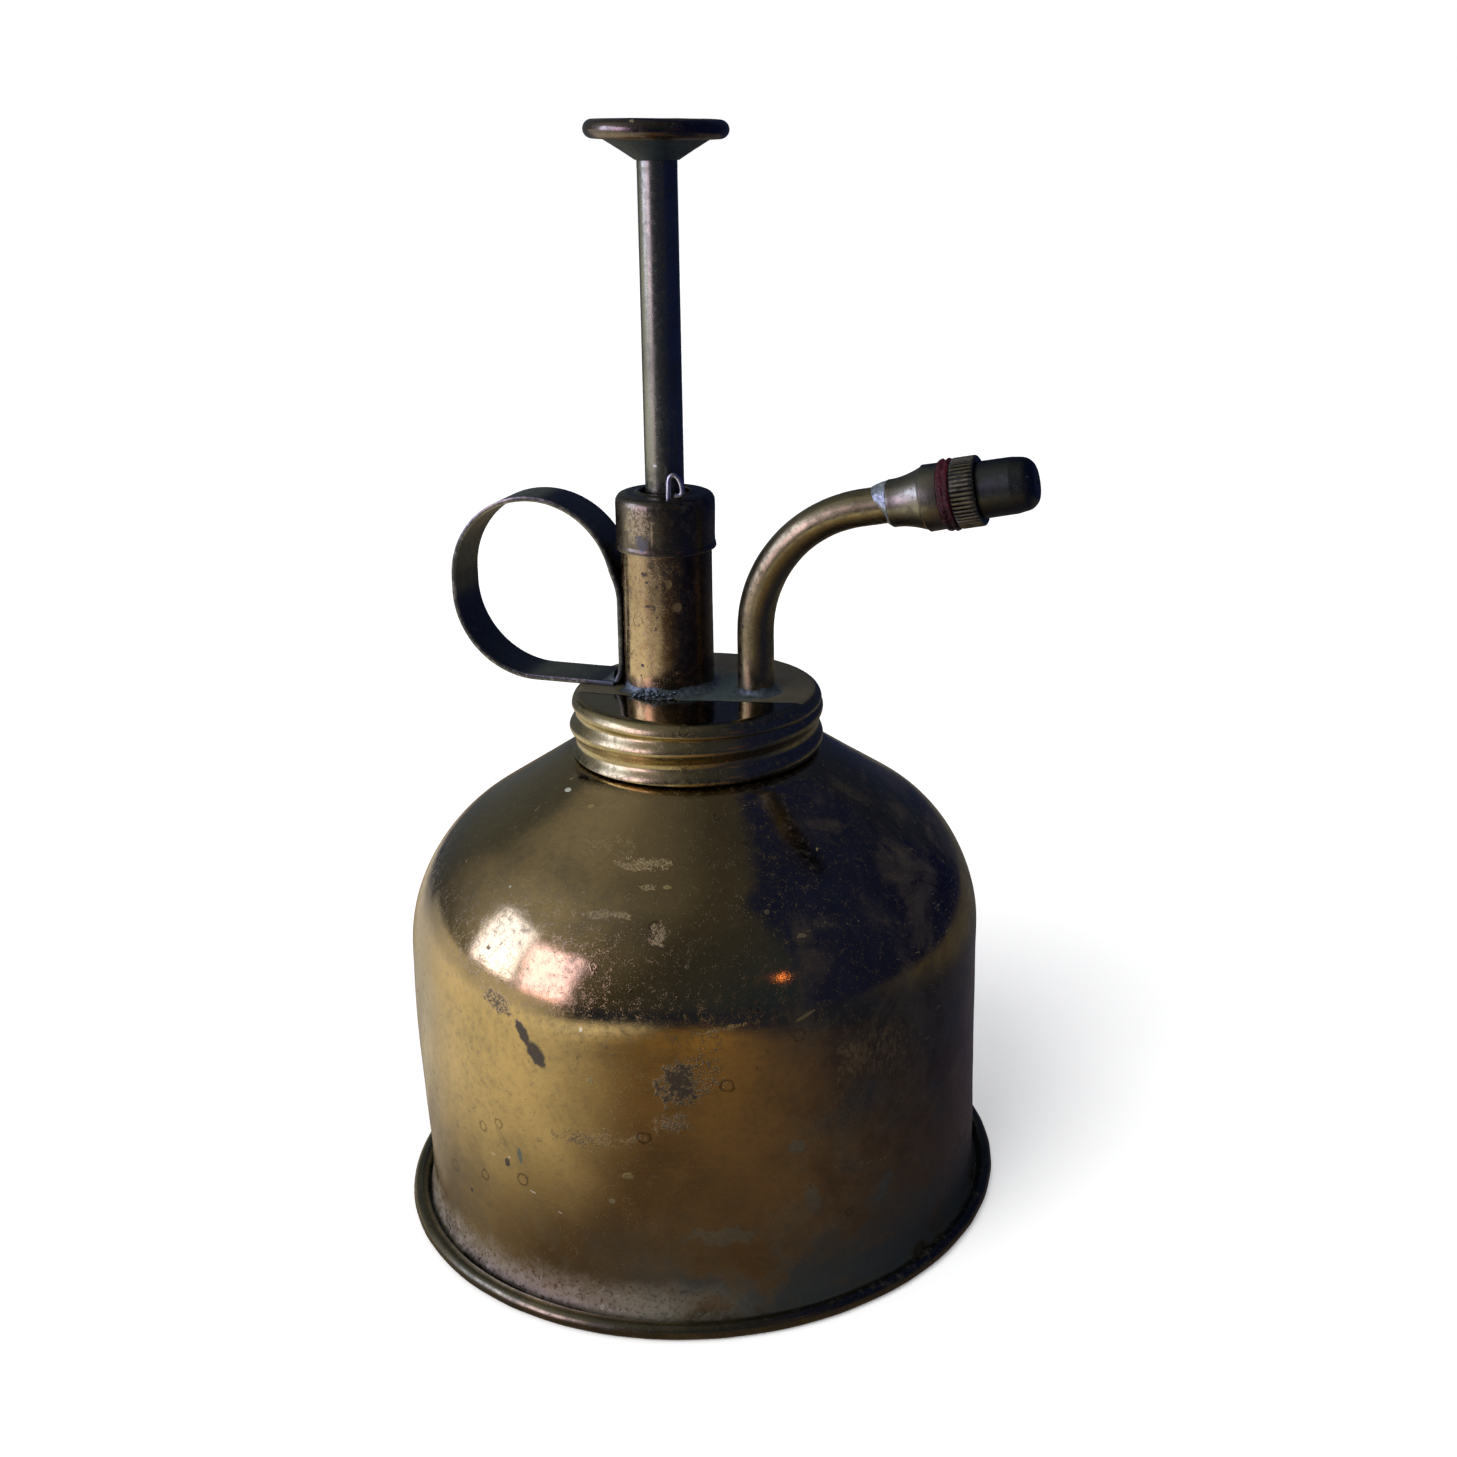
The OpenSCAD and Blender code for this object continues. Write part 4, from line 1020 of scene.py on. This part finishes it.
def make_ring():
    r = (RING_HIGH.z - RING_LOW.z - 2.0) / 2
    t = 0.8
    cx = RING_HIGH.x - r
    cz = RING_LOW.z + r
    mid = r - t / 2
    path = [Vector((RING_HIGH.x - t - 0.1 - s, 0, RING_LOW.z + t / 2)) for s in (0, 0.4, 1, 2, 4, 6, 8, 10, 12)]
    path = [p for p in path if p.x > cx + 0.5]
    path += [Vector((cx - mid * sind(a), 0, cz - mid * cosd(a)))
             for a in range(0, 91, 3)]
    path += [Vector((cx - mid * cosd(a), 0, cz + 2 + mid * sind(a)))
             for a in range(0, 181, 3)]
    path += [Vector((cx + mid, 0, z)) for z in
             [cz + 2 - (cz + 2 - RING_LOW.z - t - 0.02) * k / 10 for k in range(1, 11)]]
    half, bev = 4.13, 0.22

    def section(i):
        h = half - 0.03 * abs(math.sin(i * 0.11 + 0.4))
        w = t / 2 - 0.005
        return [(-h + bev * 0.5, -w), (h - bev * 0.5, -w), (h - 0.02, -w * 0.45), (h - 0.02, w * 0.45),
                (h - bev * 0.5, w), (-h + bev * 0.5, w), (-h + 0.02, w * 0.45), (-h + 0.02, -w * 0.45)]

    verts, faces = swept(path, section)
    leg = RING_HIGH.x - t
    for v in verts:  # the leg curves round the barrel
        ease = unit((v.x - leg + 0.6) / 0.6) * unit((cz + 5 - v.z) / 4) * unit((v.z - RING_LOW.z - 1.2) / 1.5)
        v.x += ease * (v.y / half) ** 2
    make("ring_strip", verts, faces, RING, "lid_assembly", "dark_brass", "finger_ring", 30)


def fillet_profile(r, z, spread, height, points=9):
    """Concave solder fillet at the foot of a round piece, as a closed loop."""
    arc = [(r + spread - (spread - 0.02) * sind(90 * i / points) ** 0.8,
            z + 0.02 + height * (1 - cosd(90 * i / points))) for i in range(points + 1)]
    return [(r + 0.02, z + 0.01)] + arc


def make_barrel_solder():
    high = box_mm("barrel_solder")[1]

    def warp(p, a):
        out = outward(p)
        r = math.hypot(p.x, p.y) - BARREL_R
        side = 0.75 + 0.35 * noise.noise(Vector((math.cos(a) * 2.2, math.sin(a) * 2.2, 1.3)))
        # where the ring's upright leg stands, the fillet stays in the barrel's corner
        behind = unit((abs(math.atan2(p.y, -p.x)) - 0.50) / 0.25)
        q = out * (BARREL_R + 0.02 + max(0, r - 0.02) * side * (0.04 + 0.96 * behind))
        z = LID_TOP + (p.z - LID_TOP) * side * (0.1 + 0.9 * behind)
        lump = 0.12 * noise.noise(p * 1.9) if r > 0.1 and p.z > LID_TOP + 0.1 else 0
        return Vector((q.x, q.y, min(z + lump * behind, high.z)))

    make("barrel_fillet", *lathe(fillet_profile(BARREL_R, LID_TOP, 1.85, 1.85, 12), 200, ON_BARREL, warp),
         SOLDER, "lid_assembly", "solder", "barrel_solder", 70)


def make_bubbles():
    """Blistered flux and solder at the front of the barrel's foot."""
    build = bmesh.new()
    draw = random.Random(7)
    for _ in range(46):
        azimuth = math.radians(draw.uniform(-112, -62))
        reach = BARREL_R + draw.uniform(0.15, 1.5)
        size = draw.uniform(0.16, 0.36)
        z = LID_TOP + max(0.05, 1.25 - 0.85 * (reach - BARREL_R)) * draw.uniform(0.7, 1.0)
        made = bmesh.ops.create_icosphere(build, subdivisions=2, radius=size * MM)
        spot = Vector((BX + reach * math.cos(azimuth), reach * math.sin(azimuth), z)) * MM
        bmesh.ops.scale(build, vec=(1, 1, 0.75), verts=made["verts"])
        bmesh.ops.translate(build, vec=spot, verts=made["verts"])
    blisters = link_mesh("solder_blisters", [], [], SOLDER)
    build.to_mesh(blisters.data)
    build.free()
    smooth(blisters.data)
    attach(blisters, "lid_assembly")


def make_spout_solder():
    def warp(p, a):
        out = outward(p)
        r = math.hypot(p.x, p.y) - SPOUT_R
        side = 0.72 + 0.5 * noise.noise(Vector((math.cos(a) * 1.8, math.sin(a) * 1.8, 4.1)))
        q = out * (SPOUT_R + 0.02 + max(0, r - 0.02) * min(1, side))
        z = LID_TOP + (p.z - LID_TOP) * min(1, side)
        lump = 0.10 * noise.noise(p * 2.3) if r > 0.1 and p.z > LID_TOP + 0.1 else 0
        return Vector((q.x, q.y, z + lump))

    place = Matrix.Translation(Vector((SPOUT_X, 0, 0)))
    make("spout_fillet", *lathe(fillet_profile(SPOUT_R, LID_TOP, 1.5, 1.6, 12), ROUND, place, warp),
         SOLDER, "lid_assembly", "solder", "spout_solder", 70)


def make_spout():
    path = [Vector((SPOUT_X, 0, z)) for z in (74, 76, 79, 82, 85, 88, 90, 92, 94, 95.5)]
    path += [Vector((SPOUT_X + BEND_R * (1 - cosd(a)), 0, BEND_Z + BEND_R * sind(a)))
             for a in [BEND_ANGLE * k / 40 for k in range(41)]]
    path += [BEND_END + NOZZLE_DIR * s for s in (1, 2, 3, 4, 5.2, 6.4)]
    count = 64

    def outer(i):
        p = path[i]
        flat = 0.10 * math.sin(math.pi * unit((p.x - SPOUT_X) / (BEND_END.x - SPOUT_X)))
        ring = []
        for k in range(count):
            a = 2 * math.pi * k / count
            r = SPOUT_R - flat * abs(math.sin(a)) + 0.03 * noise.noise(Vector((p.x * 0.3, a, p.z * 0.3)))
            ring.append((r * math.cos(a), r * math.sin(a)))
        return ring

    verts, faces = pipe(path, outer, 2.45, count)
    make("spout_pipe", verts, faces, SPOUT, "lid_assembly", "bright_brass", "spout_tube")


def make_nozzle():
    length = 8.4
    flare = [(3.75 + 1.2 * (k / 16) ** 1.7, 0.6 + 4.9 * k / 16, 0) for k in range(17)]
    profile = rounded([(SPOUT_R + 0.04, 0.02, 0.05), (3.75, 0.02, 0.12)] + flare
                      + [(5.22, 5.75, 0.05), (5.16, length, 0.12), (3.4, length, 0.05), (3.4, 15.4, 0.2),
                         (2.3, 15.4, 0.1), (2.3, 4.0, 0), (1.5, 4.0, 0), (1.5, 2.3, 0),
                         (SPOUT_R + 0.04, 2.3, 0)], steps=3)
    make("ferrule_body", *lathe(profile, ROUND, ON_NOZZLE),
         FERRULE, "lid_assembly", "bright_brass", "nozzle_ferrule", 28)

    def smear(p, a):
        r = math.hypot(p.x, p.y)
        out = outward(p)
        upward = (ON_NOZZLE.to_3x3() @ Vector((math.cos(a), math.sin(a), 0))).z
        ragged = noise.noise(Vector((math.cos(a), math.sin(a), 8.0)))
        reach = 0.35 + 1.1 * unit(0.5 + 0.5 * upward) ** 2 + 0.3 * ragged
        lump = 0.06 * noise.noise(p * 2.0) if r > SPOUT_R + 0.1 else 0
        return out * (r + lump) + Vector((0, 0, p.z * reach if p.z < -0.3 else p.z))

    bead = [(SPOUT_R + 0.03, -0.03), (3.68, -0.03), (3.62, -0.35), (3.48, -0.8), (3.3, -1.3),
            (SPOUT_R + 0.12, -1.8), (SPOUT_R + 0.03, -1.9)]
    make("nozzle_fillet", *lathe(bead, ROUND, ON_NOZZLE, smear),
         BRIGHT_SOLDER, "lid_assembly", "solder", "nozzle_solder", 70)

    thick, start = 2.0, length + 0.03
    loop = rounded([(3.5, start, 0.05), (5.45, start, 0.45), (5.62, start + 0.75, 0.4), (5.3, start + 1.1, 0.2),
                    (5.75, start + 1.6, 0.4), (5.4, start + thick, 0.5), (3.5, start + thick, 0.05)], steps=5)

    def crinkle(p, a):
        r = math.hypot(p.x, p.y)
        if r < 4.6:
            return p
        out = outward(p)
        amount = 0.16 * noise.noise(Vector((math.cos(a) * 3.4, math.sin(a) * 3.4, p.z * 1.4)))
        amount += 0.06 * noise.noise(Vector((math.cos(a) * 11, math.sin(a) * 11, p.z * 3)))
        return p + out * min(amount, 5.78 - r)

    make("seal_washer", *lathe(refined(loop, 0.25), 220, ON_NOZZLE, crinkle),
         WASHER, "washer", "red_rubber", "nozzle_washer", 60)

    start, stop, ridges = 10.45, 14.4, 48
    columns = ridges * 6
    pattern = (0.0, 0.04, 0.33, 0.38, 0.10, 0.0)
    stations = [(4.24, start, 0), (5.2, start, 0), (5.36, start + 0.14, 0.6)]
    stations += [(5.5, start + 0.34 + (stop - start - 0.62) * k / 6, 1) for k in range(7)]
    stations += [(5.42, stop - 0.1, 0.8), (5.28, stop, 0), (4.24, stop, 0)]
    verts = []
    for r, z, cut in stations:
        for i in range(columns):
            a = 2 * math.pi * i / columns
            wear = 0.75 + 0.5 * noise.noise(Vector((math.cos(a) * 3, math.sin(a) * 3, z * 0.4)))
            rr = r - pattern[i % 6] * cut * wear
            verts.append(ON_NOZZLE @ Vector((rr * math.cos(a), rr * math.sin(a), z)))
    make("knurled_collar", verts, grid_faces(len(stations), columns, True), NOZZLE, "nozzle_cap", "dark_brass",
         "nozzle_collar", 24)

    end = 23.2
    profile = rounded([(3.48, start, 0.05), (4.2, start, 0.05), (4.2, stop + 0.02, 0), (4.42, stop + 0.05, 0.08),
                       (4.42, stop + 0.9, 0.3), (4.38, end - 3.6, 1.0), (4.02, end - 1.2, 2.6),
                       (2.9, end - 0.1, 2.0), (1.6, end, 0.8), (0.55, end, 0.1), (0.4, end - 0.3, 0.1),
                       (0.42, end - 1.5, 0), (2.9, start + 6.6, 0), (3.48, start + 6.5, 0)], steps=10)
    make("tip_body", *lathe(profile, ROUND, ON_NOZZLE), NOZZLE, "nozzle_cap", "dark_brass", "nozzle_tip", 30)


def make_wire():
    base = Matrix.Translation(Vector((BX, 0, CAP_TOP - 0.35))) @ Matrix.Rotation(math.radians(-64), 4, "Z") \
        @ Matrix.Translation(Vector((5.8, 0, 0))) @ Matrix.Rotation(math.radians(80), 4, "Z")
    points = [(0, 0, -2.4), (0, 0, -1.0), (-0.02, 0, 0.3), (0.05, 0, 1.7), (0.1, 0.05, 2.8), (0.35, 0.1, 3.5),
              (0.85, 0.12, 3.8), (1.4, 0.08, 3.5), (1.85, 0.0, 2.8), (2.1, -0.05, 1.9), (2.15, -0.05, 1.15),
              (1.9, 0.0, 0.65), (1.4, 0.05, 0.5), (1.0, 0.1, 0.55)]
    smooth = []
    for i in range(len(points) - 1):
        p0, p1 = Vector(points[max(i - 1, 0)]), Vector(points[i])
        p2, p3 = Vector(points[i + 1]), Vector(points[min(i + 2, len(points) - 1)])
        for k in range(5):
            t = k / 5
            smooth.append(0.5 * ((2 * p1) + (p2 - p0) * t + (2 * p0 - 5 * p1 + 4 * p2 - p3) * t * t
                                 + (3 * p1 - p0 - 3 * p2 + p3) * t ** 3))
    smooth.append(Vector(points[-1]))
    path = [base @ p for p in smooth]
    count = len(path)

    def section(i):
        return ring_section(0.40 + 0.06 * unit((i - count * 0.8) / (count * 0.2)), 16)

    make("wire_hook", *swept(path, section), WIRE, "lid_assembly", "steel", "wire_clip", 60)


# ---------------------------------------------------------------- plunger

def make_plunger():
    rim, rim_z, rho = 9.65, 175.5, 1.45
    bead = [(rim + rho * cosd(t), rim_z + rho * sind(t))
            for t in range(-150, 121, 10)]
    profile = [(0, 175.75), (3, 175.72), (rim - 1.9, 175.45)] + bead
    profile += [(rim - 1.6, 176.35), (5, 176.25), (0, 176.3)]

    def warp(p, a):
        r = math.hypot(p.x, p.y)
        if r < 6:
            return p
        out = outward(p)
        return p - out * abs(wobble(p, 0.25, 0.08, 3.0)) + Vector((0, 0, -abs(wobble(p, 0.16, 0.10, 6.0))))

    make("button_disc", *lathe(profile, 160, ON_BARREL, warp),
         BUTTON, "plunger", "dark_brass", "button_top", 50)
    foot = CONE_FOOT
    profile = rounded([(ROD_R + 0.03, foot, 0.05), (ROD_R + 0.3, foot, 0.1), (5.6, foot + 1.45, 0.8),
                       (8.7, foot + 3.35, 0.5), (9.0, foot + 3.8, 0.2), (8.6, foot + 4.2, 0.05),
                       (8.0, foot + 4.2, 0.05), (6.6, foot + 3.1, 0.3),
                       (4.8, foot + 1.95, 0.3), (ROD_R + 0.03, foot + 1.1, 0.1)], steps=4)
    make("button_underside", *lathe(refined(profile, 0.5), ROUND, ON_BARREL),
         CONE, "plunger", "dark_brass", "button_cone", 50)
    low, high = ROD_LOW.z, ROD_HIGH.z
    r = ROD_R
    profile = refined(rounded([(r, low, 0.1), (r, foot - 1.4, 0.3), (r + 0.02, foot - 1.0, 0.1),
                               (r + 0.02, foot - 0.1, 0.1), (r, foot, 0.05), (r, high, 0.05),
                               (r - 0.6, high, 0.05), (r - 0.6, low, 0.05)], steps=3), 3.0)
    make("rod_tube", *lathe(profile, 96, ON_BARREL), ROD, "plunger", "bright_brass", "plunger_rod")


for make_piece in (make_tank, make_pan, make_base_solder, make_lid, make_neck, make_barrel, make_cap, make_ring,
                   make_barrel_solder, make_bubbles, make_spout_solder, make_spout, make_nozzle, make_wire,
                   make_plunger):
    make_piece()

# ---------------------------------------------------------------- CAD nodes that stay

INNER_PARTS = {
    "swirl_core": INNER, "foot_valve_body": INNER, "dip_tube": INNER, "strainer": INNER, "delivery_tube": INNER,
    "rod_end_plug": INNER, "piston_back_washer": INNER, "piston_front_washer": INNER, "piston_nut": INNER,
    "inlet_stop_pin": STEEL, "outlet_stop_pin": STEEL, "inlet_ball": STEEL, "outlet_ball": STEEL,
    "return_spring": STEEL, "lid_gasket": RUBBER, "leather_cup": LEATHER,
    "ring_corner_solder": SOLDER, "ring_back_solder": SOLDER,
}
for node_name, material in INNER_PARTS.items():
    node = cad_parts[node_name]
    node.data.materials.clear()
    node.data.materials.append(material)
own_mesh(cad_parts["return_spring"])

# ---------------------------------------------------------------- stage

def glowing(g, colour):
    """The graph's material made to shine in a colour without lighting anything."""
    shine = g.add("ShaderNodeEmission")
    g.set(shine.inputs["Color"], colour)
    g.tree.links.new(shine.outputs[0], g.tree.nodes["Material Output"].inputs[0])
    g.material.cycles.emission_sampling = "NONE"
    return g.material


def reflected_card(name, corners, material):
    """A card that only shows in reflections, as a studio flag does."""
    card = link_mesh(name, corners, [(0, 1, 2, 3)], material)
    card.visible_camera = card.visible_diffuse = card.visible_shadow = False


def stage_surface(name, profile, material, closed_middle=False, count=72):
    """A surface of revolution round the object that only the camera sees."""
    verts = [direction(360 * i / count) * r + Vector((0, 0, z)) for r, z in profile for i in range(count)]
    faces = [tuple(range(count))] if closed_middle else []
    faces += [tuple(reversed(face)) for face in grid_faces(len(profile), count, False)]
    surface = link_mesh(name, verts, faces, material)
    surface.visible_glossy = surface.visible_shadow = surface.visible_diffuse = False
    smooth(surface.data)


def make_floor():
    """A pale floor, and a pale wall that rises from its edge in a curve."""
    g = Graph("floor_white")
    g.bsdf.inputs["Base Color"].default_value = (0.9, 0.9, 0.9, 1)
    g.bsdf.inputs["Emission Color"].default_value = (1, 1, 1, 1)
    g.bsdf.inputs["Emission Strength"].default_value = 0.22
    g.bsdf.inputs["Roughness"].default_value = 0.8
    g.bsdf.inputs["Specular IOR Level"].default_value = 0.1
    g.material.cycles.emission_sampling = "NONE"
    stage_surface("floor", [(0.4, 0.0), (1.0, 0.0), (2.0, 0.0)], g.material, closed_middle=True)
    curve = [(2.0 + sind(a), 1 - cosd(a)) for a in range(0, 91, 10)]
    stage_surface("wall", curve + [(3.0, 2.0), (3.0, 4.0)], glowing(Graph("wall_white"), (1, 1, 1)))


def place_lamp(name, light, where, back):
    lamp = bpy.data.objects.new(name, light)
    lamp.location = where
    lamp.rotation_euler = back.to_track_quat("Z", "Y").to_euler()
    bpy.context.scene.collection.objects.link(lamp)
    return lamp


def window(name, azimuth, elevation, distance, width, height, power, colour):
    """A pane of light that reflections see and that lights nothing else."""
    light = bpy.data.lights.new(name, "AREA")
    light.shape, light.size, light.size_y = "RECTANGLE", width, height
    light.energy, light.color = power, colour
    back = direction(azimuth, elevation) * distance
    place_lamp(name, light, Vector((0, 0, 0.06)) + back, back).visible_diffuse = False


def sun_lamp(name, azimuth, elevation, energy, spread, colour=(1, 1, 1)):
    """Soft light that no reflection sees."""
    sun = bpy.data.lights.new(name, "SUN")
    sun.energy, sun.angle, sun.color = energy, math.radians(spread), colour
    place_lamp(name, sun, (0, 0, 0), direction(azimuth, elevation)).visible_glossy = False


def flag(name, azimuth, distance, width, colour):
    centre, side = direction(azimuth) * distance, direction(azimuth + 90) * width / 2
    up = Vector((0, 0, 1.2))
    corners = [centre - side, centre + side, centre + side + up, centre - side + up]
    reflected_card(name, corners, glowing(Graph(name), colour))


def make_table_card():
    """A card in the floor's place that only reflections see: lit on the left, dark on the right."""
    g = Graph("table_card")
    reach = g.vector("LENGTH", g.p)
    level = g.vector("NORMALIZE", g.stretched((1, 1, 0)))
    across = g.vector("DOT_PRODUCT", g.p, (-0.92, -0.39, 0.0))
    grain = g.noise(0.012, 4, 0.6, 0.3, at=g.stretched((1.0, 6.0, 1.0)))
    across = g.plus(across, g.swing(grain, 40.0), g.times(g.step(reach, 170.0, 80.0), 26.0))
    window_side = g.step(g.facing(-165, at=level), 0.60, 0.90)
    lit = g.times(g.step(across, 56.0, 134.0), g.lerp(g.step(across, 150.0, 400.0), 1.0, 0.55),
                  g.most(g.step(reach, 400.0, 210.0), window_side),
                  g.lerp(g.step(g.facing(-140, at=level), 0.25, 0.80), 0.6, 1.0))
    dim = g.times(g.step(across, -100.0, 30.0), g.step(reach, 360.0, 200.0))
    dim_colour = g.mix(g.step(reach, 70.0, 190.0), (0.14, 0.10, 0.08), (0.38, 0.245, 0.10))
    colour = g.mix(dim, (0.022, 0.030, 0.075), dim_colour)
    colour = g.mix(g.step(g.facing(62), 60.0, 190.0), colour, (0.13, 0.12, 0.10))
    lit_colour = g.mix(g.step(reach, 120.0, 340.0), (1.02, 0.94, 0.74), (1.34, 1.28, 1.16))
    size, z = 4.0, -0.0005
    corners = [(-size, -size, z), (size, -size, z), (size, size, z), (-size, size, z)]
    reflected_card("table_card", corners, glowing(g, g.mix(lit, colour, lit_colour)))


def make_lights():
    window("window_left", -156, 16, 1.2, 0.45, 0.62, 5.4, (0.52, 0.58, 1.0))
    window("window_right", -130, 14, 1.2, 0.48, 0.58, 4.0, (0.70, 0.56, 0.98))
    window("sash_left", -156, 2.5, 1.2, 0.44, 0.05, 0.12, (0.9, 0.62, 0.75))
    window("sash_right", -130, 0.5, 1.2, 0.44, 0.05, 0.12, (0.9, 0.50, 0.62))
    window("far_lamp", -40.4, 15.8, 0.9, 0.018, 0.018, 0.02, (1.0, 0.32, 0.10))
    sun_lamp("key_sun", -112, 42, 2.0, 40, (1.0, 0.99, 0.97))
    sun_lamp("top_sun", -60, 78, 1.7, 120)
    flag("flag_right", 15, 0.30, 0.7, (0.012, 0.019, 0.085))
    flag("flag_back", 75, 0.40, 0.8, (0.018, 0.026, 0.065))
    flag("flag_left", 128, 0.50, 0.62, (0.10, 0.115, 0.13))
    make_table_card()
    make_room()


def make_room():
    """A dim room that is lighter towards its windows."""
    world = bpy.data.worlds.new("room")
    world.use_nodes = True
    tree = world.node_tree
    tree.nodes.clear()
    coord, dot, half, ramp, back, out = [tree.nodes.new("ShaderNode" + kind) for kind in (
        "TexCoord", "VectorMath", "MapRange", "ValToRGB", "Background", "OutputWorld")]
    dot.operation = "DOT_PRODUCT"
    dot.inputs[1].default_value = direction(-160, 35)
    half.inputs["From Min"].default_value = -1
    dark, light = ramp.color_ramp.elements
    dark.position, dark.color = 0.35, (0.020, 0.036, 0.075, 1)
    light.position, light.color = 1.0, (0.46, 0.46, 0.46, 1)
    for place, shade in ((0.76, 0.065), (0.90, 0.17)):
        ramp.color_ramp.elements.new(place).color = (shade, shade, shade * 1.05, 1)
    for source, target in ((coord.outputs["Generated"], dot.inputs[0]), (dot.outputs["Value"], half.inputs["Value"]),
                           (half.outputs[0], ramp.inputs[0]), (ramp.outputs[0], back.inputs[0]),
                           (back.outputs[0], out.inputs[0])):
        tree.links.new(source, target)
    bpy.context.scene.world = world


def make_camera():
    """The camera of the photograph: distance, height, pitch, turn, roll and lens."""
    azimuth, distance, height = -70.0, 0.2869, 0.1804
    pitch, heading, roll = 15.32, 14.01, 0.43
    forward = direction(90 + heading, -pitch)
    right = direction(heading)
    up = right.cross(forward)
    right, up = right * cosd(roll) + up * sind(roll), up * cosd(roll) - right * sind(roll)
    data = bpy.data.cameras.new("camera")
    data.sensor_width, data.lens = 36, 45.3
    data.shift_x, data.shift_y = -0.1047, -0.0889
    data.clip_start, data.clip_end = 0.01, 50
    camera = bpy.data.objects.new("camera", data)
    place = Matrix((right, up, -forward)).transposed().to_4x4()
    place.translation = direction(azimuth) * distance + Vector((0, 0, height))
    camera.matrix_world = place
    bpy.context.scene.collection.objects.link(camera)
    bpy.context.scene.camera = camera


make_floor()
make_lights()
make_camera()
bpy.context.scene.view_settings.view_transform = "Standard"
